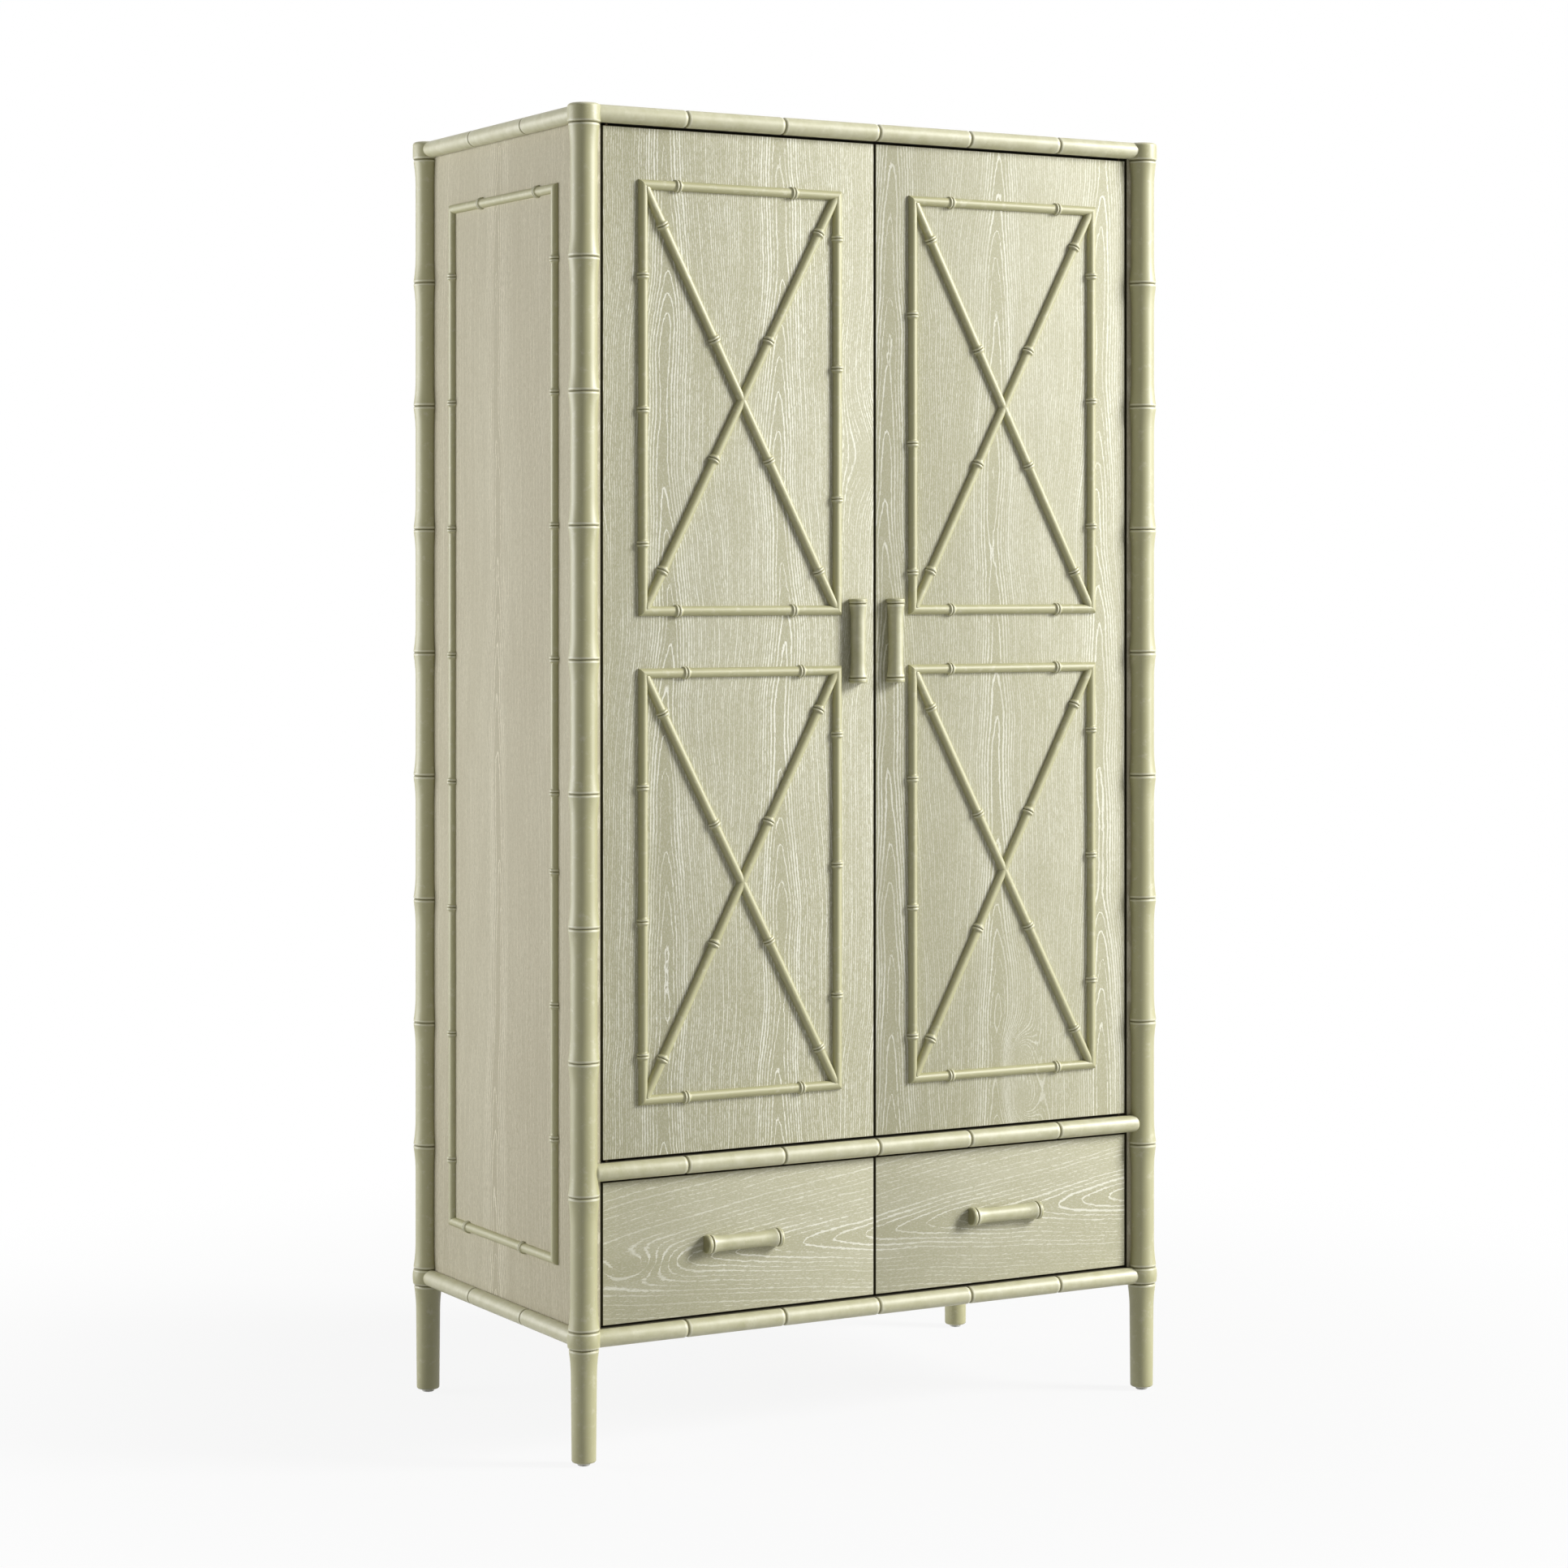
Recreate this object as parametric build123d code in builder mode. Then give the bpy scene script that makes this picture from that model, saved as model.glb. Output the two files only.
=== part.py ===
from build123d import *
import math
import os

# Faux-bamboo armoire: a board case with three-quarter turned posts at its corners,
# half-round turned rails, two pivoting doors with mitred stick frames, two drawers.
# Millimetres. X runs left to right, Y front to back, Z up from the floor.
# The origin is on the floor, midway between the four posts.

# Post axes and the case inside them
post_span_x = 966.0
post_span_y = 536.0
face_inset = 1.5
panel_t = 26.0
back_t = 12.0
partition_t = 18.0

# Heights, from the floor up
floor_clear = 164.8
board_t = 25.4
drawer_front_h = 204.0
door_h = 1473.0
reveal = 3.0

# Turned posts: foot, leg, collar, bamboo joints and cap
glide_r = 9.0
glide_h = 4.5
foot_r = 17.5
foot_round = 3.0
leg_r = 18.5
leg_lip_r = 21.9
leg_flare = 38.0
collar_r = 23.9
collar_edge_r = 22.5
waist_r = 19.3
node_r = 23.0
groove_r = 21.0
groove_half = 1.3
node_flare = 32.0
internodes = 9
cap_h = 27.5
cap_r = 23.6
cap_round = 5.0
scribe_gap = 0.15

# Every turning is cut with this many flats about its axis, two of them square to the case
turning_flats = 12

# Half-round rails on the case edges
rail_r = 12.7
rail_proud = 3.5
rail_groove_r = 11.6
rail_groove_half = 1.4
front_rail_joints = 6
side_rail_joints = 3

# Bamboo sticks planted on the doors and sides
stick_w = 14.0
stick_h = 8.0
stick_flats = 6
mitre_gap = 0.2
door_frame_side = 57.0
door_frame_end = 74.0
door_frame_between = 75.0
side_frame_edge = 83.0
side_frame_end = 79.0

# Doors and their pivot hinges
door_t = 22.0
pivot_edge = 8.0
pivot_setback = 6.0
pin_r = 2.5
pin_clear = 0.05
pin_reach = 6.0
pin_hole_clear = 1.0
leaf_l = 36.0
leaf_w = 9.0
leaf_t = 2.0
leaf_tail = 6.0

# Bar pulls
pull_l = 125.0
pull_r = 11.0
pull_end_r = 13.7
pull_axis_off = 6.6
pull_cap_l = 7.5
pull_groove_half = 1.2
pull_groove_r = 12.2
pull_flare = 22.0
pull_end_round = 2.0
door_pull_edge = 32.5
door_pull_h = 735.5

# Magnetic catch under the top board and its strike plates
catch_l = 90.0
catch_d = 20.0
catch_h = 14.0
catch_gap = 0.3
strike_t = 1.5
strike_l = 34.0
strike_h = 12.0
strike_drop = 2.0
strike_edge = 8.0

# Wardrobe fittings
shelf_t = 20.0
shelf_above_deck = 1214.0
shelf_setback = 10.0
shelf_play = 0.5
cleat_t = 20.0
cleat_l = 440.0
rod_r = 16.0
rod_drop = 55.0
rod_clear = 0.1
socket_r = 24.0
socket_t = 12.0

# Drawer boxes
drawer_side_t = 12.0
drawer_side_h = 150.0
drawer_side_l = 460.0
drawer_lift = 14.0
drawer_bottom_t = 6.0
drawer_bottom_up = 10.0
drawer_groove = 5.0
partition_gap = 1.0

# Ball-bearing drawer slides: three nested channels
slide_t = 12.7
slide_l = 450.0
slide_wall = 1.2
slide_h = 45.0
slide_step = 3.5
slide_flange = 8.5
slide_middle_in = 3.0
slide_middle_flange = 7.2
slide_inner_flange = 6.5
slide_front_gap = 4.0

# Planes of the case
post_x = post_span_x / 2
post_y = post_span_y / 2
side_x = post_x - face_inset
front_y = -(post_y - face_inset)
back_y = post_y - face_inset
inner_x = side_x - panel_t
board_back_y = back_y - back_t
door_back_y = front_y + door_t

# Levels of the case
bottom_z = floor_clear
drawer_z = bottom_z + board_t + reveal
deck_z = drawer_z + drawer_front_h + reveal
door_z = deck_z + board_t + reveal
door_top_z = door_z + door_h
top_z = door_top_z + reveal
case_h = top_z + board_t
floor_of_case_z = bottom_z + board_t
deck_top_z = deck_z + board_t
shelf_z = deck_top_z + shelf_above_deck
rod_z = shelf_z - rod_drop
inner_mid_y = (door_back_y + board_back_y) / 2

LEFT = -1
RIGHT = 1
FRONT = -1
BACK = 1
side_names = {LEFT: "left", RIGHT: "right"}
end_names = {FRONT: "front", BACK: "back"}

os.makedirs("parts", exist_ok=True)


def write(piece, label):
    """Label a finished part and write it as one STEP file."""
    piece.part.label = label
    export_step(piece.part, f"parts/{label}.step")


def board(low, high):
    """A plain rectangular board between two opposite corners."""
    size = Vector(*high) - Vector(*low)
    middle = (Vector(*high) + Vector(*low)) / 2
    with BuildPart() as plank:
        with BuildSketch(Plane.XY.offset(low[2])):
            with Locations((middle.X, middle.Y)):
                Rectangle(size.X, size.Y)
        extrude(amount=size.Z)
    return plank


def span(side, near, far):
    """The low and high X of something between two distances from the middle, on one side."""
    return (near, far) if side == RIGHT else (-far, -near)


def side_board(side, near_x, far_x, y, z):
    """A board on one side of the middle, between two distances from it."""
    low_x, high_x = span(side, near_x, far_x)
    return board((low_x, y[0], z[0]), (high_x, y[1], z[1]))


# Turned bamboo


def ring(start, distance, radius):
    """Corners of a turning's cross-section at one distance along a plane's normal."""
    half_flat = math.pi / turning_flats
    reach = radius / math.cos(half_flat)
    corners = []
    for flat in range(turning_flats):
        turn = (2 * flat + 1) * half_flat
        corner = Vector(reach * math.cos(turn), reach * math.sin(turn), distance)
        corners.append(start.from_local_coords(corner))
    return corners


def turned(start, outline):
    """A turning along a plane's normal, through points of distance and radius."""
    rings = [ring(start, distance, radius) for distance, radius in outline]
    faces = [Face(Wire.make_polygon(end)) for end in (rings[0], rings[-1])]
    for low, high in zip(rings, rings[1:]):
        for flat in range(turning_flats):
            corners = (low[flat - 1], low[flat], high[flat], high[flat - 1])
            faces.append(Face(Wire.make_polygon(corners)))
    solid = Solid(Shell(faces))
    with BuildPart() as turning:
        add(solid)
    return turning.part


# Corner posts


def post_outline(grow):
    """Half section of a post as height and radius points, foot to cap, swelled by grow."""
    cap_z = case_h - cap_h
    pitch = (cap_z - floor_of_case_z) / internodes
    points = [
        (glide_h, foot_r - foot_round),
        (glide_h + foot_round, foot_r),
        (bottom_z - leg_flare, leg_r),
        (bottom_z - groove_half, leg_lip_r),
        (bottom_z, groove_r),
        (bottom_z + groove_half, collar_edge_r),
        (bottom_z + board_t / 2, collar_r),
        (floor_of_case_z - groove_half, collar_edge_r),
        (floor_of_case_z, groove_r),
    ]
    for joint in range(internodes):
        low = floor_of_case_z + joint * pitch
        high = low + pitch
        points += [
            (low + groove_half, node_r),
            (low + node_flare, waist_r),
            (high - node_flare, waist_r),
            (high - groove_half, node_r),
            (high, groove_r),
        ]
    points += [
        (cap_z + groove_half, cap_r),
        (case_h - cap_round, cap_r),
        (case_h, cap_r - cap_round),
    ]
    return [(height, radius + grow) for height, radius in points]


def post_blank(x, y, grow=0.0):
    """The full turning of a post about its own axis."""
    return turned(Plane(origin=(x, y, 0), x_dir=(1, 0, 0)), post_outline(grow))


def corner_rabbet(side, end):
    """The square corner of the case that each post is cut away to wrap round."""
    low_x, high_x = span(side, inner_x, side_x)
    low_y, high_y = (front_y, 0) if end == FRONT else (0, back_y)
    low = (low_x, low_y, floor_of_case_z)
    return board(low, (high_x, high_y, case_h - cap_h)).part


scribes = {}
notches = {}
for side in (LEFT, RIGHT):
    for end in (FRONT, BACK):
        axis_x = side * post_x
        axis_y = end * post_y
        blank = post_blank(axis_x, axis_y)
        scribes[side, end] = post_blank(axis_x, axis_y, scribe_gap)
        rabbet = corner_rabbet(side, end)
        notches[side, end] = scribes[side, end] - rabbet
        with BuildPart() as post:
            add(blank)
            add(rabbet, mode=Mode.SUBTRACT)
        write(post, f"{end_names[end]}_{side_names[side]}_post")

with BuildPart() as glides:
    with BuildSketch(Plane.XY):
        with GridLocations(post_span_x, post_span_y, 2, 2):
            RegularPolygon(glide_r, turning_flats, major_radius=False)
    extrude(amount=glide_h)
write(glides, "foot_glides")


# Case boards

for side in (LEFT, RIGHT):
    blank = side_board(side, inner_x, side_x, (front_y, back_y), (bottom_z, case_h)).part
    with BuildPart() as side_panel:
        add(blank)
        for end in (FRONT, BACK):
            add(notches[side, end], mode=Mode.SUBTRACT)
    write(side_panel, f"{side_names[side]}_side_panel")

write(board((-inner_x, board_back_y, bottom_z), (inner_x, back_y, case_h)), "back_panel")

partition_x = partition_t / 2
partition_front_y = door_back_y + partition_gap
write(
    board(
        (-partition_x, partition_front_y, floor_of_case_z),
        (partition_x, board_back_y, deck_z),
    ),
    "drawer_partition",
)

# Pivot hinge places: one pin above and one below each door
pivot_x = inner_x - reveal - pivot_edge
pivot_y = front_y + pivot_setback
leaf_mid_x = pivot_x - leaf_l / 2 + leaf_tail


def hinge_mortises(plane, depth):
    """The two leaf pockets let into a board, with room for the pin ends, as one cutter."""
    with BuildPart() as pockets:
        with BuildSketch(plane):
            with Locations((-leaf_mid_x, 0), (leaf_mid_x, 0)):
                Rectangle(leaf_l, leaf_w)
        extrude(amount=leaf_t)
        with BuildSketch(plane):
            with Locations((-pivot_x, 0), (pivot_x, 0)):
                Circle(pin_r + pin_hole_clear)
        extrude(amount=depth)
    return pockets.part


pin_depth = leaf_t + pin_reach + pin_hole_clear
under_top = Plane(origin=(0, pivot_y, top_z), x_dir=(1, 0, 0), z_dir=(0, 0, 1))
over_deck = Plane(origin=(0, pivot_y, deck_top_z), x_dir=(1, 0, 0), z_dir=(0, 0, -1))
top_pockets = hinge_mortises(under_top, pin_depth)
deck_pockets = hinge_mortises(over_deck, pin_depth)

for label, level, pockets in (
    ("top_board", top_z, top_pockets),
    ("deck_board", deck_z, deck_pockets),
):
    blank = board((-inner_x, front_y, level), (inner_x, board_back_y, level + board_t)).part
    with BuildPart() as shelf_board:
        add(blank)
        add(pockets, mode=Mode.SUBTRACT)
    write(shelf_board, label)

write(
    board((-inner_x, front_y, bottom_z), (inner_x, board_back_y, floor_of_case_z)),
    "bottom_board",
)

with BuildPart() as case_leaves:
    for plane in (under_top, over_deck):
        with BuildSketch(plane):
            with Locations((-leaf_mid_x, 0), (leaf_mid_x, 0)):
                Rectangle(leaf_l, leaf_w)
            with Locations((-pivot_x, 0), (pivot_x, 0)):
                Circle(pin_r + pin_clear, mode=Mode.SUBTRACT)
        extrude(amount=leaf_t)
write(case_leaves, "hinge_case_leaves")


# Bamboo rails


def rail_outline(length, joints):
    """Half section of a rail as distance and radius points, with a V groove at each joint."""
    pitch = length / joints
    points = [(0, rail_r)]
    for joint in range(1, joints):
        middle = joint * pitch
        points += [
            (middle - rail_groove_half, rail_r),
            (middle, rail_groove_r),
            (middle + rail_groove_half, rail_r),
        ]
    return points + [(length, rail_r)]


def rail(start, along, out, length, joints, cutters):
    """A turned rail, flat where it is planted on the case and coped round the posts."""
    start = Vector(*start)
    out = Vector(*out)
    blank = turned(Plane(origin=start, x_dir=out, z_dir=along), rail_outline(length, joints))
    flat = Plane(origin=start - out * (rail_proud + face_inset), z_dir=out)
    with BuildPart() as planted:
        add(blank)
        split(bisect_by=flat, keep=Keep.TOP)
        for cutter in cutters:
            add(cutter, mode=Mode.SUBTRACT)
    return planted


rail_levels = {"top": top_z + board_t / 2, "bottom": bottom_z + board_t / 2}
front_cutters = [scribes[LEFT, FRONT], scribes[RIGHT, FRONT]]
front_levels = {**rail_levels, "middle": deck_z + board_t / 2}
for level, z in front_levels.items():
    start = (-post_x, -post_y - rail_proud, z)
    front_rail = rail(
        start, (1, 0, 0), (0, -1, 0), post_span_x, front_rail_joints, front_cutters
    )
    write(front_rail, f"front_{level}_rail")

for side in (LEFT, RIGHT):
    cutters = [scribes[side, FRONT], scribes[side, BACK]]
    for level, z in rail_levels.items():
        start = (side * (post_x + rail_proud), -post_y, z)
        side_rail = rail(
            start, (0, 1, 0), (side, 0, 0), post_span_y, side_rail_joints, cutters
        )
        write(side_rail, f"{side_names[side]}_{level}_rail")


# Bamboo stick frames and crosses


def stick_section(width, height, start):
    """Points of a half-round stick section, from one edge over the crown to the other."""
    turns = [math.pi * flat / stick_flats for flat in range(stick_flats + 1)]
    middle = start + width / 2
    return [
        (middle + width / 2 * math.cos(turn), height * math.sin(turn))
        for turn in turns
    ]


def mitred_stick(corner, along, inward, length):
    """One stick of a frame, its outer edge running from a corner, cut at 45 degrees at both ends."""
    far = corner + along * length
    with BuildPart() as stick:
        with BuildSketch(Plane(origin=corner, x_dir=inward, z_dir=along)):
            with BuildLine():
                Polyline(stick_section(stick_w, stick_h, 0), close=True)
            make_face()
        extrude(amount=length)
        for end, way in ((corner, along), (far, -along)):
            normal = (way - inward).normalized()
            mitre = Plane(origin=end + normal * (mitre_gap / 2), z_dir=normal)
            split(bisect_by=mitre, keep=Keep.TOP)
    return stick.part


def stick_frame(face, width, height):
    """Four mitred sticks round a rectangle centred on a face plane."""
    right = face.x_dir
    up = face.y_dir
    low_left = face.origin - right * (width / 2) - up * (height / 2)
    low_right = low_left + right * width
    high_right = low_right + up * height
    high_left = low_left + up * height
    sides = (
        mitred_stick(low_left, right, up, width),
        mitred_stick(low_right, up, -right, height),
        mitred_stick(high_right, -right, -up, width),
        mitred_stick(high_left, -up, right, height),
    )
    with BuildPart() as frame:
        for stick in sides:
            add(stick)
    return frame


def diagonal_stick(face, half_w, half_h, lean, grow):
    """A stick on one diagonal of a rectangle, pointed to fit its corners."""
    right = face.x_dir * lean
    up = face.y_dir
    along = (right * half_w + up * half_h).normalized()
    across = along.cross(face.z_dir) * -1
    reach = Vector(half_w, half_h).length + stick_w
    width = stick_w + 2 * grow
    section = stick_section(width, stick_h + grow, -width / 2)
    with BuildPart() as stick:
        with BuildSketch(Plane(origin=face.origin - along * reach, x_dir=across, z_dir=along)):
            with BuildLine():
                Polyline(section, close=True)
            make_face()
        extrude(amount=2 * reach)
        for out, distance in ((right, half_w), (up, half_h)):
            for way in (out, -out):
                edge = Plane(origin=face.origin + way * distance, z_dir=-way)
                split(bisect_by=edge, keep=Keep.TOP)
    return stick.part


def stick_cross(face, width, height):
    """Two crossed sticks inside a frame: one whole, the other in two lengths fitted to it."""
    half_w = width / 2 - stick_w - mitre_gap
    half_h = height / 2 - stick_w - mitre_gap
    whole = diagonal_stick(face, half_w, half_h, RIGHT, 0)
    cutter = diagonal_stick(face, half_w, half_h, RIGHT, mitre_gap)
    fitted = diagonal_stick(face, half_w, half_h, LEFT, 0)
    with BuildPart() as cross:
        add(fitted)
        add(cutter, mode=Mode.SUBTRACT)
        add(whole)
    return cross


side_frame_w = 2 * (back_y - side_frame_edge)
side_frame_low = floor_of_case_z + side_frame_end
side_frame_h = top_z - side_frame_end - side_frame_low
for side in (LEFT, RIGHT):
    middle = (side * side_x, 0, side_frame_low + side_frame_h / 2)
    face = Plane(origin=middle, x_dir=(0, side, 0), z_dir=(side, 0, 0))
    write(stick_frame(face, side_frame_w, side_frame_h), f"{side_names[side]}_side_frame")


# Pulls


def pull_outline():
    """Half section of a pull as distance and radius points, swelling to a grooved cap at each end."""
    groove = pull_l / 2 - pull_cap_l
    right_half = [
        (groove - pull_flare, pull_r),
        (groove - pull_groove_half, pull_end_r),
        (groove, pull_groove_r),
        (groove + pull_groove_half, pull_end_r),
        (pull_l / 2 - pull_end_round, pull_end_r),
        (pull_l / 2, pull_end_r - pull_end_round),
    ]
    left_half = [(-distance, radius) for distance, radius in reversed(right_half)]
    return left_half + right_half


def bar_pull(x, z, along):
    """A turned pull planted flat-backed on a door or drawer face."""
    centre = (x, front_y - pull_axis_off, z)
    blank = turned(Plane(origin=centre, x_dir=(0, -1, 0), z_dir=along), pull_outline())
    with BuildPart() as pull:
        add(blank)
        split(bisect_by=Plane(origin=(x, front_y, z), z_dir=(0, -1, 0)), keep=Keep.TOP)
    return pull


# Doors

door_near_x = reveal / 2
door_far_x = inner_x - reveal
frame_w = door_far_x - door_near_x - 2 * door_frame_side
frame_h = (door_h - 2 * door_frame_end - door_frame_between) / 2
lower_frame_z = door_z + door_frame_end + frame_h / 2
upper_frame_z = lower_frame_z + frame_h + door_frame_between

for side in (LEFT, RIGHT):
    name = side_names[side]
    door_mid_x = side * (door_near_x + door_far_x) / 2
    hinge_x = side * pivot_x
    leaf_x = side * leaf_mid_x
    door_top = Plane(origin=(0, pivot_y, door_top_z), x_dir=(1, 0, 0), z_dir=(0, 0, 1))
    door_foot = Plane(origin=(0, pivot_y, door_z), x_dir=(1, 0, 0), z_dir=(0, 0, -1))

    with BuildPart() as door_leaves:
        for plane in (door_top, door_foot):
            with BuildSketch(plane):
                with Locations((leaf_x, 0)):
                    Rectangle(leaf_l, leaf_w)
            extrude(amount=-leaf_t)
            with BuildSketch(plane):
                with Locations((hinge_x, 0)):
                    Circle(pin_r)
            extrude(amount=reveal + leaf_t + pin_reach)
    write(door_leaves, f"{name}_hinge_door_leaves")

    blank = side_board(
        side, door_near_x, door_far_x, (front_y, door_back_y), (door_z, door_top_z)
    ).part
    with BuildPart() as slab:
        add(blank)
        for plane in (door_top, door_foot):
            with BuildSketch(plane):
                with Locations((leaf_x, 0)):
                    Rectangle(leaf_l, leaf_w)
            extrude(amount=-leaf_t, mode=Mode.SUBTRACT)
    write(slab, f"{name}_door")

    for level, z in (("upper", upper_frame_z), ("lower", lower_frame_z)):
        middle = (door_mid_x, front_y, z)
        face = Plane(origin=middle, x_dir=(1, 0, 0), z_dir=(0, -1, 0))
        write(stick_frame(face, frame_w, frame_h), f"{name}_door_{level}_frame")
        write(stick_cross(face, frame_w, frame_h), f"{name}_door_{level}_cross")

    door_pull = bar_pull(side * door_pull_edge, door_z + door_pull_h, (0, 0, 1))
    write(door_pull, f"{name}_door_pull")

    strike_top = door_top_z - strike_drop
    strike = side_board(
        side,
        strike_edge,
        strike_edge + strike_l,
        (door_back_y, door_back_y + strike_t),
        (strike_top - strike_h, strike_top),
    )
    write(strike, f"{name}_strike_plate")

catch_front = door_back_y + strike_t + catch_gap
write(
    board(
        (-catch_l / 2, catch_front, top_z - catch_h),
        (catch_l / 2, catch_front + catch_d, top_z),
    ),
    "magnetic_catch",
)


# Wardrobe shelf and hanging rod

shelf_x = inner_x - shelf_play
shelf_front_y = door_back_y + shelf_setback
write(
    board((-shelf_x, shelf_front_y, shelf_z), (shelf_x, board_back_y, shelf_z + shelf_t)),
    "wardrobe_shelf",
)

with BuildPart() as cleats:
    with BuildSketch(Plane.XY.offset(shelf_z)):
        for side in (LEFT, RIGHT):
            with Locations((side * (inner_x - cleat_t / 2), board_back_y - cleat_l / 2)):
                Rectangle(cleat_t, cleat_l)
    extrude(amount=-cleat_t)
write(cleats, "shelf_cleats")

rod_end = Plane(origin=(inner_x, inner_mid_y, rod_z), x_dir=(0, 1, 0), z_dir=(-1, 0, 0))
with BuildPart() as sockets:
    with BuildSketch(rod_end):
        RegularPolygon(socket_r, turning_flats, major_radius=False)
        Circle(rod_r + rod_clear, mode=Mode.SUBTRACT)
    extrude(amount=socket_t)
    mirror(about=Plane.YZ)
write(sockets, "rod_sockets")

with BuildPart() as rod:
    with BuildSketch(rod_end):
        Circle(rod_r)
    extrude(amount=2 * inner_x)
write(rod, "hanging_rod")


# Drawers and their slides

box_near_x = partition_x + slide_t
box_far_x = inner_x - slide_t
box_front_y = door_back_y
box_back_y = box_front_y + drawer_side_l
box_z = drawer_z + drawer_lift
box_top_z = box_z + drawer_side_h
bottom_low_z = box_z + drawer_bottom_up
bottom_high_z = bottom_low_z + drawer_bottom_t
slide_z = (box_z + box_top_z) / 2
slide_front_y = box_front_y + slide_front_gap


def channel(plane, outer_h, flange):
    """A rolled slide member: a web on the plane with a flange along each edge."""
    with BuildPart() as member:
        with BuildSketch(plane):
            Rectangle(slide_l, outer_h)
        extrude(amount=slide_wall)
        with BuildSketch(plane):
            edge = (outer_h - slide_wall) / 2
            with Locations((0, -edge), (0, edge)):
                Rectangle(slide_l, slide_wall)
        extrude(amount=flange)
    return member.part


def slide_pair(distance, outer_h, flange, toward_drawer, drawer_side):
    """The two like members of one drawer's slides, set in from the case walls by a distance."""
    members = []
    for wall_x, facing in (
        (drawer_side * inner_x, -drawer_side),
        (drawer_side * partition_x, drawer_side),
    ):
        x = wall_x + facing * distance
        normal = facing if toward_drawer else -facing
        plane = Plane(
            origin=(x, slide_front_y + slide_l / 2, slide_z),
            x_dir=(0, 1, 0),
            z_dir=(normal, 0, 0),
        )
        members.append(channel(plane, outer_h, flange))
    return members


middle_h = slide_h - 2 * slide_step
inner_h = middle_h - 2 * slide_step
case_members = []
for side in (LEFT, RIGHT):
    name = side_names[side]
    case_members += slide_pair(0, slide_h, slide_flange, True, side)
    middles = slide_pair(slide_middle_in, middle_h, slide_middle_flange, True, side)
    with BuildPart() as middle_members:
        for member in middles:
            add(member)
    write(middle_members, f"{name}_slide_middle_members")
    inners = slide_pair(slide_t, inner_h, slide_inner_flange, False, side)
    with BuildPart() as drawer_members:
        for member in inners:
            add(member)
    write(drawer_members, f"{name}_slide_drawer_members")

    front = side_board(
        side,
        door_near_x,
        door_far_x,
        (front_y, door_back_y),
        (drawer_z, drawer_z + drawer_front_h),
    )
    write(front, f"{name}_drawer_front")

    bottom = side_board(
        side,
        box_near_x + drawer_side_t - drawer_groove,
        box_far_x - drawer_side_t + drawer_groove,
        (box_front_y, box_back_y),
        (bottom_low_z, bottom_high_z),
    )
    write(bottom, f"{name}_drawer_bottom")

    box_y = (box_front_y, box_back_y)
    box_levels = (box_z, box_top_z)
    near_side = side_board(side, box_near_x, box_near_x + drawer_side_t, box_y, box_levels)
    far_side = side_board(side, box_far_x - drawer_side_t, box_far_x, box_y, box_levels)
    with BuildPart() as sides:
        add(near_side.part)
        add(far_side.part)
        add(bottom.part, mode=Mode.SUBTRACT)
    write(sides, f"{name}_drawer_sides")

    back = side_board(
        side,
        box_near_x + drawer_side_t,
        box_far_x - drawer_side_t,
        (box_back_y - drawer_side_t, box_back_y),
        (bottom_high_z, box_top_z),
    )
    write(back, f"{name}_drawer_back")

    drawer_pull = bar_pull(
        side * (door_near_x + door_far_x) / 2, drawer_z + drawer_front_h / 2, (1, 0, 0)
    )
    write(drawer_pull, f"{name}_drawer_pull")

with BuildPart() as cabinet_members:
    for member in case_members:
        add(member)
write(cabinet_members, "slide_cabinet_members")
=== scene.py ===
"""Looks of a faux-bamboo armoire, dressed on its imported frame.

Turned bamboo is remade as smooth lathe work, the doors and drawer fronts as eased
boards in limed veneer, and the stick frames with their rings from a node tree.
Turnings, sticks and boards are sized in millimetres in the fields below, and so is a
veneer's ring pitch; the finishes' and the studio's other lengths, and every mesh, are
in metres.
"""

import logging
import math
from dataclasses import dataclass, field, replace
from enum import Enum
from functools import partial
from typing import Any, Callable, Sequence

import bmesh
import bpy
from mathutils import Matrix, Vector


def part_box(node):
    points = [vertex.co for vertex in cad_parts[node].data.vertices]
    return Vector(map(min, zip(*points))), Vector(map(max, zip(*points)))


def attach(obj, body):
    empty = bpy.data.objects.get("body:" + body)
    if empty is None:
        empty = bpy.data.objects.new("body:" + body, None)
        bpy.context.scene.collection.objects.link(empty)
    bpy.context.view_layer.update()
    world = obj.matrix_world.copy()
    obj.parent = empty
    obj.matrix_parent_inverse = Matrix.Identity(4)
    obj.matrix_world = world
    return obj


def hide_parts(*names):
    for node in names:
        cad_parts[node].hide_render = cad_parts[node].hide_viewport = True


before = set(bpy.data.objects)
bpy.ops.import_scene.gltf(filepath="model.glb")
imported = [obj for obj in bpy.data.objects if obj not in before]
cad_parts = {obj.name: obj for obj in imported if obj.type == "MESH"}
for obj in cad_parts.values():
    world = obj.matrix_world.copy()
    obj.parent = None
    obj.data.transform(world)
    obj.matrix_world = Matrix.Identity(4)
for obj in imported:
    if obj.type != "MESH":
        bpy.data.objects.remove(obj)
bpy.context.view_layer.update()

LOG = logging.getLogger("armoire")
MM = 0.001
SMOOTH_LIMIT = math.radians(38)
WELD = 1e-6
CUT_SLACK = 1e-7
ROUND_STEPS = 6
UP = Vector((0, 0, 1))
FORWARD = Vector((0, -1, 0))
BACKWARD = Vector((0, 1, 0))
RIGHTWARD = Vector((1, 0, 0))

Material = bpy.types.Material
BMesh = bmesh.types.BMesh
Colour = tuple[float, float, float]
Point = tuple[float, float, float]
Span = tuple[float, float]
Rings = list[tuple[float, float, float]]


class Side(Enum):
    """The two halves of the armoire, with the sign of X on each."""

    LEFT = -1
    RIGHT = 1

    @property
    def label(self) -> str:
        """The word that the node names use for this side."""
        return self.name.lower()


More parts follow.
